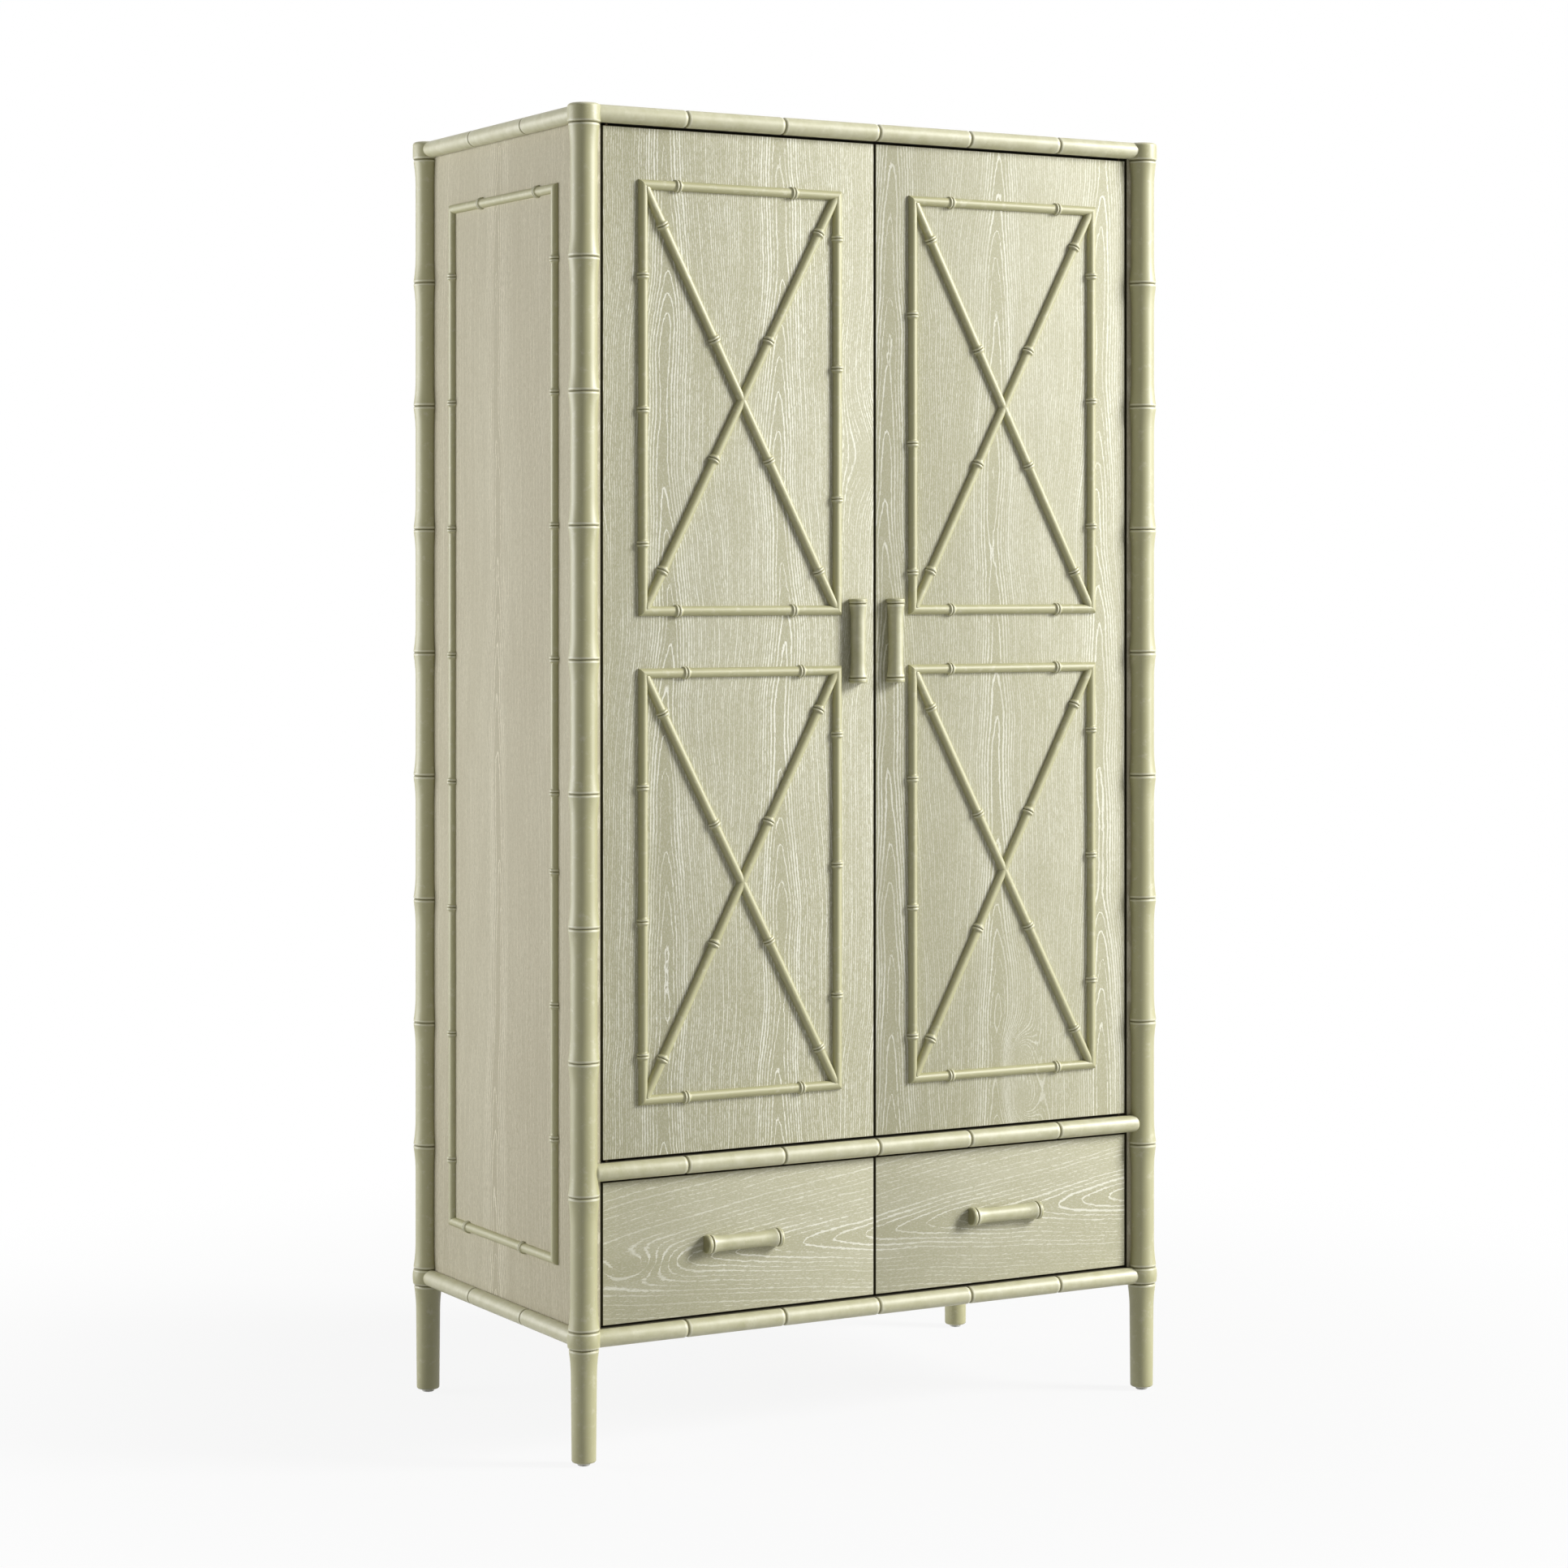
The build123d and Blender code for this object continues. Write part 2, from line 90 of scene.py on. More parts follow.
class Grain(Enum):
    """Which way the wood's grain runs on a board, as the order of its axes."""

    UPRIGHT = (0, 1, 2)
    ACROSS = (2, 1, 0)
    DEEP = (0, 2, 1)
    SIDEWAYS = (1, 0, 2)


# Node graphs


class Wire:
    """One output socket of a node graph, with arithmetic on its values."""

    def __init__(self, graph: "Graph", socket: bpy.types.NodeSocket) -> None:
        """Wrap an output socket of a graph."""
        self.graph = graph
        self.socket = socket

    def __add__(self, other: Any) -> "Wire":
        """Sum of two values."""
        return self.graph.math("ADD", self, other)

    __radd__ = __add__

    def __sub__(self, other: Any) -> "Wire":
        """This value less another."""
        return self.graph.math("SUBTRACT", self, other)

    def __rsub__(self, other: Any) -> "Wire":
        """Another value less this one."""
        return self.graph.math("SUBTRACT", other, self)

    def __mul__(self, other: Any) -> "Wire":
        """Product of two values."""
        return self.graph.math("MULTIPLY", self, other)

    __rmul__ = __mul__

    def __truediv__(self, other: Any) -> "Wire":
        """This value divided by another."""
        return self.graph.math("DIVIDE", self, other)


class Graph:
    """A node tree, filled in through expressions and one node method."""

    def __init__(self, owner: bpy.types.ID) -> None:
        """Start with an empty tree.

        Args:
            owner: The material or world whose tree it is, or a node group, which is its own.
        """
        self.owner = owner
        if not isinstance(owner, bpy.types.NodeTree):
            owner.use_nodes = True
        self.tree = getattr(owner, "node_tree", owner)
        self.tree.nodes.clear()

    def node(
        self, kind: str, settings: dict[str, Any] | None = None,
        inputs: dict[str, Any] | None = None, output: str | int = 0,
    ) -> Wire:
        """Add a node of any type.

        Args:
            kind: The node's type name.
            settings: Properties, which are set first.
            inputs: Values or wires by socket identifier or name.
            output: Which output the wire carries.

        Returns:
            The chosen output as a wire.
        """
        made = self.tree.nodes.new(kind)
        for key, value in (settings or {}).items():
            setattr(made, key, value)
        for key, value in (inputs or {}).items():
            socket = next(s for s in made.inputs if key in (s.identifier, s.name) and s.enabled)
            if isinstance(value, Wire):
                self.tree.links.new(value.socket, socket)
            else:
                socket.default_value = value
        if isinstance(output, str):
            return Wire(self, next(s for s in made.outputs if output in (s.identifier, s.name)))
        return Wire(self, made.outputs[output] if made.outputs else None)

    def math(self, operation: str, first: Any, second: Any = None) -> Wire:
        """One Math node on one or two values."""
        inputs = {"Value": first} if second is None else {"Value": first, "Value_001": second}
        return self.node("ShaderNodeMath", {"operation": operation}, inputs)

    def step(self, value: Wire, low: float, high: float) -> Wire:
        """A smooth step from 0 at low to 1 at high."""
        settings = {"interpolation_type": "SMOOTHSTEP", "clamp": True}
        inputs = {"Value": value, "From Min": low, "From Max": high}
        return self.node("ShaderNodeMapRange", settings, inputs)

    def mix(self, share: Any, first: Any, second: Any) -> Wire:
        """A blend of two colours, each a value or a wire, by the share of the second."""
        inputs = {"Factor_Float": share, "A_Color": _rgba(first), "B_Color": _rgba(second)}
        return self.node("ShaderNodeMix", {"data_type": "RGBA"}, inputs, "Result_Color")

    def place(self) -> Wire:
        """Object coordinates of the shaded point."""
        return self.node("ShaderNodeTexCoord", output="Object")

    def parts(self, vector: Wire) -> tuple[Wire, Wire, Wire]:
        """The three coordinates of a vector."""
        made = self.node("ShaderNodeSeparateXYZ", inputs={"Vector": vector})
        x, y, z = (Wire(self, output) for output in made.socket.node.outputs)
        return x, y, z

    def join(self, x: Any, y: Any, z: Any) -> Wire:
        """A vector from three values."""
        return self.node("ShaderNodeCombineXYZ", inputs={"X": x, "Y": y, "Z": z})

    def noise(self, vector: Wire, scale: float, detail: float = 2.0, rough: float = 0.5) -> Wire:
        """Fractal noise at a place, from 0 to 1."""
        inputs = {"Vector": vector, "Scale": scale, "Detail": detail, "Roughness": rough}
        return self.node("ShaderNodeTexNoise", {"normalize": True}, inputs, "Fac")

    def attribute(self, name: str) -> Wire:
        """A number stored on the mesh."""
        return self.node("ShaderNodeAttribute", {"attribute_name": name}, output="Fac")

    def bump(self, height: Wire, strength: float, depth: float) -> Wire:
        """A normal that follows a height, with the relief's depth in metres."""
        inputs = {"Strength": strength, "Distance": depth, "Height": height}
        return self.node("ShaderNodeBump", inputs=inputs, output="Normal")

    def surface(self, inputs: dict[str, Any]) -> Material:
        """Finish the material with one surface shader and return it."""
        return self.end(self.node("ShaderNodeBsdfPrincipled", inputs=inputs))

    def end(self, shader: Wire) -> Material | bpy.types.World:
        """Send a shader to the owner's surface and return the owner."""
        kind = "World" if isinstance(self.owner, bpy.types.World) else "Material"
        self.node(f"ShaderNodeOutput{kind}", inputs={"Surface": shader})
        return self.owner


def _rgba(colour: Any) -> Any:
    """A colour with its alpha, or a wire as it is."""
    return colour if isinstance(colour, Wire) else (*colour, 1.0)


# Finishes

# Painted shade: a dark colour for the faces in the gaps round the doors and drawers, so that the gaps
# read black; on open doors and drawer fronts it shows as dark edges.
GAP_SHADE: Colour = (0.070, 0.062, 0.034)


def case_mouth_shade(graph: Graph, axes: Sequence[Wire]) -> Wire:
    """Mark the faces of the case that the doors and drawers close against, where shade is painted so
    that the gaps read dark.

    Args:
        graph: The material's graph.
        axes: Object coordinates of the shaded point.

    Returns:
        1 on those faces, in front of the doors' backs, and 0 on the rest.
    """
    soft = 1 * MM
    door_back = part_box("left_door")[1].y
    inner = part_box("wardrobe_shelf")[1].x
    floor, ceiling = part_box("bottom_board")[1].z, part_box("top_board")[0].z
    x, y, z = axes
    ahead = graph.step(y, door_back, door_back - soft)
    within = graph.step(graph.math("ABSOLUTE", x), inner + 2 * soft, inner + soft)
    above = graph.step(z, floor - 2 * soft, floor - soft)
    below = graph.step(z, ceiling + 2 * soft, ceiling + soft)
    return ahead * within * above * below


def dimmed(colour: Colour, share: float) -> Colour:
    """A colour with every level brought down to a share."""
    red, green, blue = colour
    return red * share, green * share, blue * share


@dataclass(frozen=True)
class BoardPlace:
    """Where a shaded point lies on a board, and the seed that sets the board apart."""

    graph: Graph
    across: Wire
    thick: Wire
    along: Wire
    seed: float = 0.0

    @classmethod
    def sort(
        cls, graph: Graph, axes: Sequence[Wire], grain: Grain = Grain.UPRIGHT, seed: float = 0.0
    ) -> "BoardPlace":
        """Sort a point's coordinates by the way that the grain runs."""
        return cls(graph, *(axes[index] for index in grain.value), seed)


@dataclass(frozen=True)
class Mottle:
    """A noise drawn out along the grain, and the mask that it makes between two levels."""

    scale: float
    detail: float = 2.0
    rough: float = 0.5
    stretch: float = 1.0
    low: float = 0.0
    high: float = 1.0
    share: float = 1.0

    def noise(self, place: BoardPlace) -> Wire:
        """The noise at a place, from 0 to 1."""
        graph = place.graph
        vector = graph.join(place.across, place.thick + place.seed, place.along * self.stretch)
        return graph.noise(vector, self.scale, self.detail, self.rough)

    def mask(self, noise: Wire) -> Wire:
        """How much shows where the noise has a value."""
        return noise.graph.step(noise, self.low, self.high) * self.share

    def on(self, place: BoardPlace) -> Wire:
        """How much shows at a place."""
        return self.mask(self.noise(place))


@dataclass(frozen=True)
class TurnedPaint:
    """Satin sage paint on turned bamboo: painted shade in the grooves, and the lips paler as rubbed
    wear and painted highlight.
    """

    name: str = "turned_paint"
    base: Colour = (0.390, 0.374, 0.195)
    shade: Colour = (0.346, 0.330, 0.158)
    painted_shade: Colour = (0.120, 0.106, 0.048)
    rubbed_and_sheen: Colour = (0.680, 0.665, 0.520)
    cloud: Mottle = Mottle(9.0, 4.0, 0.55, low=0.62, high=0.36, share=0.5)
    brush: Mottle = Mottle(75.0, 4.0, 0.65, low=0.54, high=0.76, share=0.30)
    wear_and_highlight: Mottle = Mottle(55.0, 3.0, 0.6, low=0.12, high=0.75, share=0.60)
    wear_swing: float = 0.5
    dust: Mottle = Mottle(620.0, 2.0, 0.6, low=0.66, high=0.74, share=0.22)
    hollow: Span = (0.10, 0.80)
    hollow_share: float = 0.80
    grit: Mottle = Mottle(420.0)
    bump: Span = (0.10, 0.0004)
    roughness: float = 0.50
    rough_swing: float = 0.16
    gloss: float = 0.8
    coat: float = 0.5
    coat_roughness: float = 0.48

    def material(self) -> Material:
        """Build the paint's node tree and return its material."""
        graph = Graph(bpy.data.materials.new(self.name))
        place = BoardPlace.sort(graph, graph.parts(graph.place()))
        relief = graph.attribute("relief")
        cloud = self.cloud.noise(place)
        tone = graph.mix(self.cloud.mask(cloud), self.base, self.shade)
        tone = graph.mix(self.brush.on(place), tone, self.rubbed_and_sheen)
        # Relief above 0 lifts the paler paint: rubbed wear and a painted highlight on the lips, and
        # painted sheen where rails and pulls are pale all along.
        lips = relief + (self.wear_and_highlight.noise(place) - 0.5) * self.wear_swing
        tone = graph.mix(self.wear_and_highlight.mask(lips), tone, self.rubbed_and_sheen)
        tone = graph.mix(self.dust.on(place), tone, self.rubbed_and_sheen)
        # Painted shade: relief below 0, in the grooves, on the rails' backs and on the pulls' end
        # faces, darkens the paint.
        hollow = graph.step(relief * -1.0, *self.hollow) * self.hollow_share
        tone = graph.mix(hollow, tone, self.painted_shade)
        bump = graph.bump(self.grit.noise(place), *self.bump)
        rough = (cloud - 0.5) * self.rough_swing + self.roughness
        return graph.surface(
            {
                "Base Color": tone, "Roughness": rough, "Normal": bump,
                "Specular IOR Level": self.gloss, "Coat Weight": self.coat,
                "Coat Roughness": self.coat_roughness,
            }
        )


@dataclass(frozen=True)
class Knot:
    """A swirl in the grain: where it lies, how far it reaches and how far it lifts the rings."""

    across: float
    along: float
    wide: float = 0.042
    tall: float = 0.075
    lift: float = 0.050
    core: Span = (0.55, 0.95)
    flatten: float = 0.9


@dataclass(frozen=True)
class LimedVeneer:
    """Open-grained veneer, stained sage with white filler in its pores.

    Leaves of veneer lie side by side. In each the growth rings are a tapering tree cut by the
    face, so that they run straight at its edges and close into long arches over its heart.
    """

    name: str
    heart: float
    seed: float
    grain: Grain = Grain.UPRIGHT
    base: Colour = (0.470, 0.454, 0.322)
    dark: Colour = (0.400, 0.384, 0.252)
    filler: Colour = (0.775, 0.768, 0.665)
    ring_pitch: float = 5.6
    leaf: float = 0.190
    leaf_step: float = 3.7
    leaf_row: float = 7.0
    narrow: float = 1.55
    depth: float = 0.022
    taper: float = 0.060
    rise: float = 0.10
    slope: float = 0.0
    lift_scale: float = 3.0
    lift_detail: float = 1.5
    swing: float = 0.060
    drift_scale: float = 2.4
    wander: float = 0.050
    wave: Mottle = Mottle(8.0, 3.0, 0.6)
    wave_squeeze: float = 2.2
    ripple: float = 0.009
    jag: Mottle = Mottle(300.0, 2.0, 0.6, stretch=0.25)
    jag_depth: float = 0.0012
    line: float = 0.22
    line_soft: Span = (-0.04, 0.10)
    year_scale: float = 0.9
    year_swing: float = 0.9
    near: Span = (3.6, 1.3)
    near_width: float = 0.24
    near_share: float = 0.30
    plain: Span = (2.0, 1.15)
    plain_share: float = 0.75
    slit: Mottle = Mottle(820.0, 2.0, 0.6, stretch=0.14)
    slit_reach: float = 1.7
    hair: Mottle = Mottle(1500.0, 1.0, stretch=0.14, low=0.54, high=0.70, share=0.30)
    fade: Mottle = Mottle(34.0, stretch=0.22, low=0.30, high=0.58, share=0.45)
    dense: Span = (0.62, 0.38)
    dense_share: float = 0.35
    contrast: float = 0.95
    patch: Mottle = Mottle(3.2, 3.0, stretch=0.4, low=0.30, high=0.70)
    speck: Mottle = Mottle(760.0, 2.0, 0.7, stretch=0.45, low=0.54, high=0.70, share=0.30)
    dark_speck: Span = (0.46, 0.30)
    bump: Span = (0.22, 0.0005)
    roughness: float = 0.62
    rough_swing: float = 0.12
    gloss: float = 0.25
    knots: tuple[Knot, ...] = ()
    on_case: bool = False

    def material(self) -> Material:
        """Build the veneer's node tree and return its material."""
        graph = Graph(bpy.data.materials.new(self.name))
        axes = graph.parts(graph.place())
        place = BoardPlace.sort(graph, axes, self.grain, self.seed)
        white, dense, plain = self.pores(place)
        tone = graph.mix(self.patch.on(place), self.dark, self.base)
        bare = graph.math("MAXIMUM", dense * self.dense_share, plain * self.plain_share)
        tone = graph.mix(bare, tone, self.dark)
        tone = graph.mix(white * self.contrast, tone, self.filler)
        speck = self.speck.noise(place)
        tone = graph.mix(self.speck.mask(speck), tone, self.filler)
        dark_speck = graph.step(speck, *self.dark_speck) * self.speck.share
        tone = graph.mix(dark_speck, tone, self.dark)
        # Painted shade in the gaps: on the case's faces round the doors, or on a door's or a front's
        # edges.
        shadow = case_mouth_shade(graph, axes) if self.on_case else graph.attribute("gap_shade_mark")
        tone = graph.mix(shadow, tone, GAP_SHADE)
        bump = graph.bump(1 - white, *self.bump)
        rough = white * self.rough_swing + self.roughness
        return graph.surface(
            {"Base Color": tone, "Roughness": rough, "Normal": bump, "Specular IOR Level": self.gloss}
        )

    def rings(self, place: BoardPlace) -> tuple[Wire, Wire, Wire]:
        """Count growth rings outwards from the heart of the leaf that a point lies in.

        Args:
            place: The point's place on the veneer.

        Returns:
            How many rings lie inside the point, how steeply they are cut there, and how far
            the point is from the tree's middle.
        """
        graph, across, along = place.graph, place.across, place.along
        drift = graph.noise(graph.join(self.seed, place.thick, along), self.drift_scale) - 0.5
        count = (across - self.heart + drift * self.wander - along * self.slope) / self.leaf
        leaf = graph.math("FLOOR", count + 0.5)
        away = (count - leaf) * (self.leaf * self.narrow)
        bend = graph.math("SQRT", away * away + self.depth**2)
        row = graph.join(leaf * self.leaf_step + self.seed, self.leaf_row, along)
        lift = graph.noise(row, self.lift_scale, self.lift_detail) - 0.5
        wave = self.wave.noise(replace(place, across=across * self.wave_squeeze)) - 0.5
        jag = self.jag.noise(place) - 0.5
        reach = bend + along * self.taper + lift * self.swing + wave * self.ripple
        reach = reach + jag * self.jag_depth
        lean = away / bend
        steep = graph.math("SQRT", lean * lean + self.rise**2)
        for knot in self.knots:
            wide, tall = (across - knot.across) / knot.wide, (along - knot.along) / knot.tall
            swell = graph.math("EXPONENT", (wide * wide + tall * tall) * -1.0)
            reach = reach + swell * knot.lift
            steep = steep * (1 - graph.step(swell, *knot.core) * knot.flatten)
        return reach / (self.ring_pitch * MM), steep, bend

    def pores(self, place: BoardPlace) -> tuple[Wire, Wire, Wire]:
        """Lay the filled pores along the rings.

        Args:
            place: The point's place on the veneer.

        Returns:
            How white the filler is, how much of the dense wood shows between the lines, and
            where the heart is plain.
        """
        graph = place.graph
        ring, steep, bend = self.rings(place)
        between = graph.math("ABSOLUTE", graph.math("FRACT", ring) * 2.0 - 1) / steep
        number = graph.join(graph.math("FLOOR", ring), self.seed, 0.0)
        year = graph.noise(number, self.year_scale, 0.0) - 0.5
        fade = self.fade.noise(place)
        near, plain = (
            graph.step(bend, self.depth * far, self.depth * close)
            for far, close in (self.near, self.plain)
        )
        width = year * self.year_swing + near * self.near_width + self.line
        slit = self.slit.noise(place) - 0.5
        line = graph.step(width + slit * self.slit_reach - between, *self.line_soft)
        line = line * (self.fade.mask(fade) + (1 - self.fade.share))
        line = line * (near * self.near_share + (1 - self.near_share))
        dense = (1 - line) * graph.step(fade, *self.dense)
        return graph.math("MAXIMUM", line, self.hair.on(place)), dense, plain * (1 - line)


@dataclass(frozen=True)
class StainedBoard:
    """Plain straight-grained board, thinly stained, for the inside and the back."""

    name: str
    base: Colour
    streak: Colour
    grain: Grain
    strength: float = 0.70
    bow: Mottle = Mottle(2.6)
    bow_squeeze: float = 3.0
    bow_depth: float = 0.05
    fibre: Mottle = Mottle(420.0, 3.0, 0.6, stretch=0.018, low=0.40, high=0.66, share=0.55)
    band: Mottle = Mottle(60.0, stretch=0.03, low=0.35, high=0.70, share=0.30)
    pore: Mottle = Mottle(1500.0, 1.0, stretch=0.06, low=0.56, high=0.70, share=0.35)
    cloud: Mottle = Mottle(4.0, 3.0, stretch=0.5, low=0.40, high=0.75, share=0.30)
    dim: float = 0.86
    bump: Span = (0.12, 0.0004)
    roughness: float = 0.52
    rough_swing: float = 0.10

    def material(self) -> Material:
        """Build the board's node tree and return its material."""
        graph = Graph(bpy.data.materials.new(self.name))
        axes = graph.parts(graph.place())
        place = BoardPlace.sort(graph, axes, self.grain)
        across, thick = place.across * self.bow_squeeze, place.thick * self.bow_squeeze
        bow = self.bow.noise(replace(place, across=across, thick=thick)) - 0.5
        bent = replace(place, across=place.across + bow * self.bow_depth)
        fibre = self.fibre.noise(bent)
        mask = self.fibre.mask(fibre) + self.band.on(bent) + self.pore.on(bent)
        tone = graph.mix(mask * self.strength, self.base, self.streak)
        tone = graph.mix(self.cloud.on(place), tone, dimmed(self.base, self.dim))
        # Painted shade on the case's faces in the gaps round the doors and drawers.
        tone = graph.mix(case_mouth_shade(graph, axes), tone, GAP_SHADE)
        bump = graph.bump(fibre, *self.bump)
        rough = fibre * self.rough_swing + self.roughness
        return graph.surface({"Base Color": tone, "Roughness": rough, "Normal": bump})


@dataclass(frozen=True)
class DrawnMetal:
    """Brushed metal with fine lines along one axis."""

    name: str
    base: Colour
    roughness: float
    grain: Grain
    line: Mottle = Mottle(900.0, 2.0, 0.6, stretch=0.02)
    cloud: Mottle = Mottle(30.0, 3.0, low=0.35, high=0.70, share=0.6)
    dim: float = 0.80
    bump: Span = (0.08, 0.0002)
    rough_swing: float = 0.14

    def material(self) -> Material:
        """Build the metal's node tree and return its material."""
        graph = Graph(bpy.data.materials.new(self.name))
        place = BoardPlace.sort(graph, graph.parts(graph.place()), self.grain)
        line = self.line.noise(place)
        tone = graph.mix(self.cloud.on(place), self.base, dimmed(self.base, self.dim))
        bump = graph.bump(line, *self.bump)
        rough = line * self.rough_swing + self.roughness
        return graph.surface(
            {"Base Color": tone, "Metallic": 1.0, "Roughness": rough, "Normal": bump}
        )


@dataclass(frozen=True)
class MouldedPlastic:
    """Matte moulded plastic with a fine pebbled skin."""

    name: str
    base: Colour
    cloud: Mottle = Mottle(40.0, 3.0, low=0.3, high=0.7, share=0.5)
    skin: Mottle = Mottle(1400.0)
    dim: float = 0.88
    bump: Span = (0.12, 0.0002)
    roughness: float = 0.5
    rough_swing: float = 0.1

    def material(self) -> Material:
        """Build the plastic's node tree and return its material."""
        graph = Graph(bpy.data.materials.new(self.name))
        place = BoardPlace.sort(graph, graph.parts(graph.place()))
        skin = self.skin.noise(place)
        tone = graph.mix(self.cloud.on(place), self.base, dimmed(self.base, self.dim))
        bump = graph.bump(skin, *self.bump)
        rough = skin * self.rough_swing + self.roughness
        return graph.surface({"Base Color": tone, "Roughness": rough, "Normal": bump})


class Palette:
    """Every finish of the armoire, made once."""

    def __init__(self) -> None:
        """Make the paint, the veneers and the plainer finishes."""
        self.paint = TurnedPaint().material()
        left_door = LimedVeneer(
            "left_door_veneer", heart=-0.164, seed=3.1, contrast=1.25, knots=(Knot(-0.010, 1.43),)
        )
        right_door = LimedVeneer(
            "right_door_veneer", heart=0.219, seed=11.7, ring_pitch=6.0, contrast=0.85,
            knots=(
                Knot(0.258, 0.528, 0.026, 0.040, 0.085), Knot(0.264, 0.466, 0.028, 0.042, 0.085),
            ),
        )
        self.doors = {Side.LEFT: left_door.material(), Side.RIGHT: right_door.material()}
        left_drawer = LimedVeneer(
            "left_drawer_veneer", heart=0.285, seed=21.3, grain=Grain.ACROSS, ring_pitch=6.0,
            leaf=1.0, narrow=1.0, depth=0.014, taper=-0.11, slope=0.04, swing=0.02, wander=0.02,
            line=0.10, contrast=0.80, knots=(Knot(0.275, -0.405, 0.022, 0.060, 0.030),),
        )
        right_drawer = replace(left_drawer, name="right_drawer_veneer", knots=())
        self.fronts = {Side.LEFT: left_drawer.material(), Side.RIGHT: right_drawer.material()}
        self.side_panel = LimedVeneer(
            "side_veneer", heart=0.02, seed=40.2, grain=Grain.SIDEWAYS, base=(0.498, 0.464, 0.335),
            dark=(0.440, 0.402, 0.283), filler=(0.720, 0.680, 0.540), ring_pitch=3.6,
            leaf=1.0, narrow=1.0, depth=0.014, taper=0.03, swing=0.02, contrast=1.0, on_case=True,
        ).material()
        level = StainedBoard("case_board", (0.470, 0.440, 0.290), (0.560, 0.530, 0.380), Grain.ACROSS)
        self.board = level.material()
        self.upright_board = replace(level, name="upright_board", grain=Grain.UPRIGHT).material()
        self.deep_board = StainedBoard(
            "deep_board", (0.520, 0.480, 0.330), (0.620, 0.590, 0.440), Grain.DEEP
        ).material()
        self.brass = DrawnMetal("hinge_brass", (0.060, 0.046, 0.026), 0.42, Grain.ACROSS).material()
        self.steel = DrawnMetal("slide_steel", (0.58, 0.58, 0.59), 0.34, Grain.DEEP).material()
        self.rod_steel = DrawnMetal("rod_steel", (0.60, 0.60, 0.61), 0.22, Grain.ACROSS).material()
        self.glide = MouldedPlastic("glide_plastic", (0.84, 0.84, 0.81)).material()
        self.catch = MouldedPlastic("catch_plastic", (0.30, 0.27, 0.22)).material()


# Mesh making


def link_piece(
    name: str, work: BMesh, material: Material, body: str, node: str
) -> None:
    """Finish a mesh and put it in the scene as a piece of one body.

    Args:
        name: The piece's name.
        work: Its bmesh, in place, which is freed.
        material: The finish.
        body: The body that it moves with.
        node: The frame node that it stands for.
    """
    mesh = finish_mesh(work, node)
    piece = bpy.data.objects.new(name, mesh)
    bpy.context.scene.collection.objects.link(piece)
    mesh.materials.clear()
    mesh.materials.append(material)
    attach(piece, body)
    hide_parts(node)
    LOG.info("%s on %s, %d faces", name, body, len(mesh.polygons))


def finish_mesh(work: BMesh, name: str) -> bpy.types.Mesh:
    """Turn a bmesh into a smooth-shaded mesh with its creases kept.

    Args:
        work: The bmesh, which is freed.
        name: The mesh's name.

    Returns:
        The mesh.
    """
    bmesh.ops.remove_doubles(work, verts=work.verts, dist=WELD)
    bmesh.ops.recalc_face_normals(work, faces=work.faces)
    mesh = bpy.data.meshes.new(name)
    work.to_mesh(mesh)
    work.free()
    mesh.shade_smooth()
    mesh.set_sharp_from_angle(angle=SMOOTH_LIMIT)
    return mesh


def planted(node: str, out: Vector) -> tuple[Vector, Vector]:
    """Find where a node stands on the face that carries it.

    Args:
        node: The node.
        out: Out of the face.

    Returns:
        The middle of the node's back, and the node's size.
    """
    low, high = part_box(node)
    middle = (low + high) / 2
    back = min(low.dot(out), high.dot(out))
    return middle + out * (back - middle.dot(out)), high - low


def upright_axis(node: str) -> Vector:
    """The point on the floor under the middle of an upright node."""
    low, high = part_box(node)
    return Vector(((low.x + high.x) / 2, (low.y + high.y) / 2, 0))


def lathe(
    work: BMesh, rings: Rings, start: Vector, along: Vector, out: Vector,
    segments: int, shape: Callable[[int, float, float], Span] | None = None, bored: bool = False,
) -> None:
    """Spin a profile into a closed turning.

    Args:
        work: The bmesh that takes the turning.
        rings: Distance, radius and relief of each ring, in millimetres; a relief above 0 pales the
            paint, as rubbed wear and painted highlight, and one below 0 is painted shade.
        start: Where distance 0 lies, in metres.
        along: Direction of the axis.
        out: Direction of the first point of each ring.
        segments: Points round each ring.
        shape: Where a ring's point goes, from the ring's index, turn and radius.
        bored: Whether the last ring joins the first, round a bore, or both are capped.
    """
    relief_layer = work.verts.layers.float.get("relief") or work.verts.layers.float.new("relief")
    across = along.cross(out)
    made: list[list[bmesh.types.BMVert]] = []
    for index, (distance, radius, relief) in enumerate(rings):
        ring = []
        for step in range(segments):
            turn = 2 * math.pi * step / segments
            spot = (radius * math.cos(turn), radius * math.sin(turn))
            if shape:
                spot = shape(index, turn, radius)
            point = start + along * (distance * MM) + (out * spot[0] + across * spot[1]) * MM
            vert = work.verts.new(point)
            vert[relief_layer] = relief
            ring.append(vert)
        made.append(ring)
    for low, high in zip(made, made[1:] + made[:1] if bored else made[1:]):
        for step in range(segments):
            after = (step + 1) % segments
            work.faces.new((low[step], low[after], high[after], high[step]))
    if not bored:
        work.faces.new(list(reversed(made[0])))
        work.faces.new(made[-1])


def cut_flat(work: BMesh, point: Vector, outward: Vector) -> None:
    """Cut away what lies beyond a plane and close the cut.

    Args:
        work: The bmesh to cut.
        point: A point of the plane.
        outward: The side that is cut away.
    """
    everything = [*work.verts, *work.edges, *work.faces]
    made = bmesh.ops.bisect_plane(
        work, geom=everything, dist=CUT_SLACK, plane_co=point, plane_no=outward, clear_outer=True
    )
    rim = [item for item in made["geom_cut"] if isinstance(item, bmesh.types.BMEdge)]
    bmesh.ops.contextual_create(work, geom=rim)


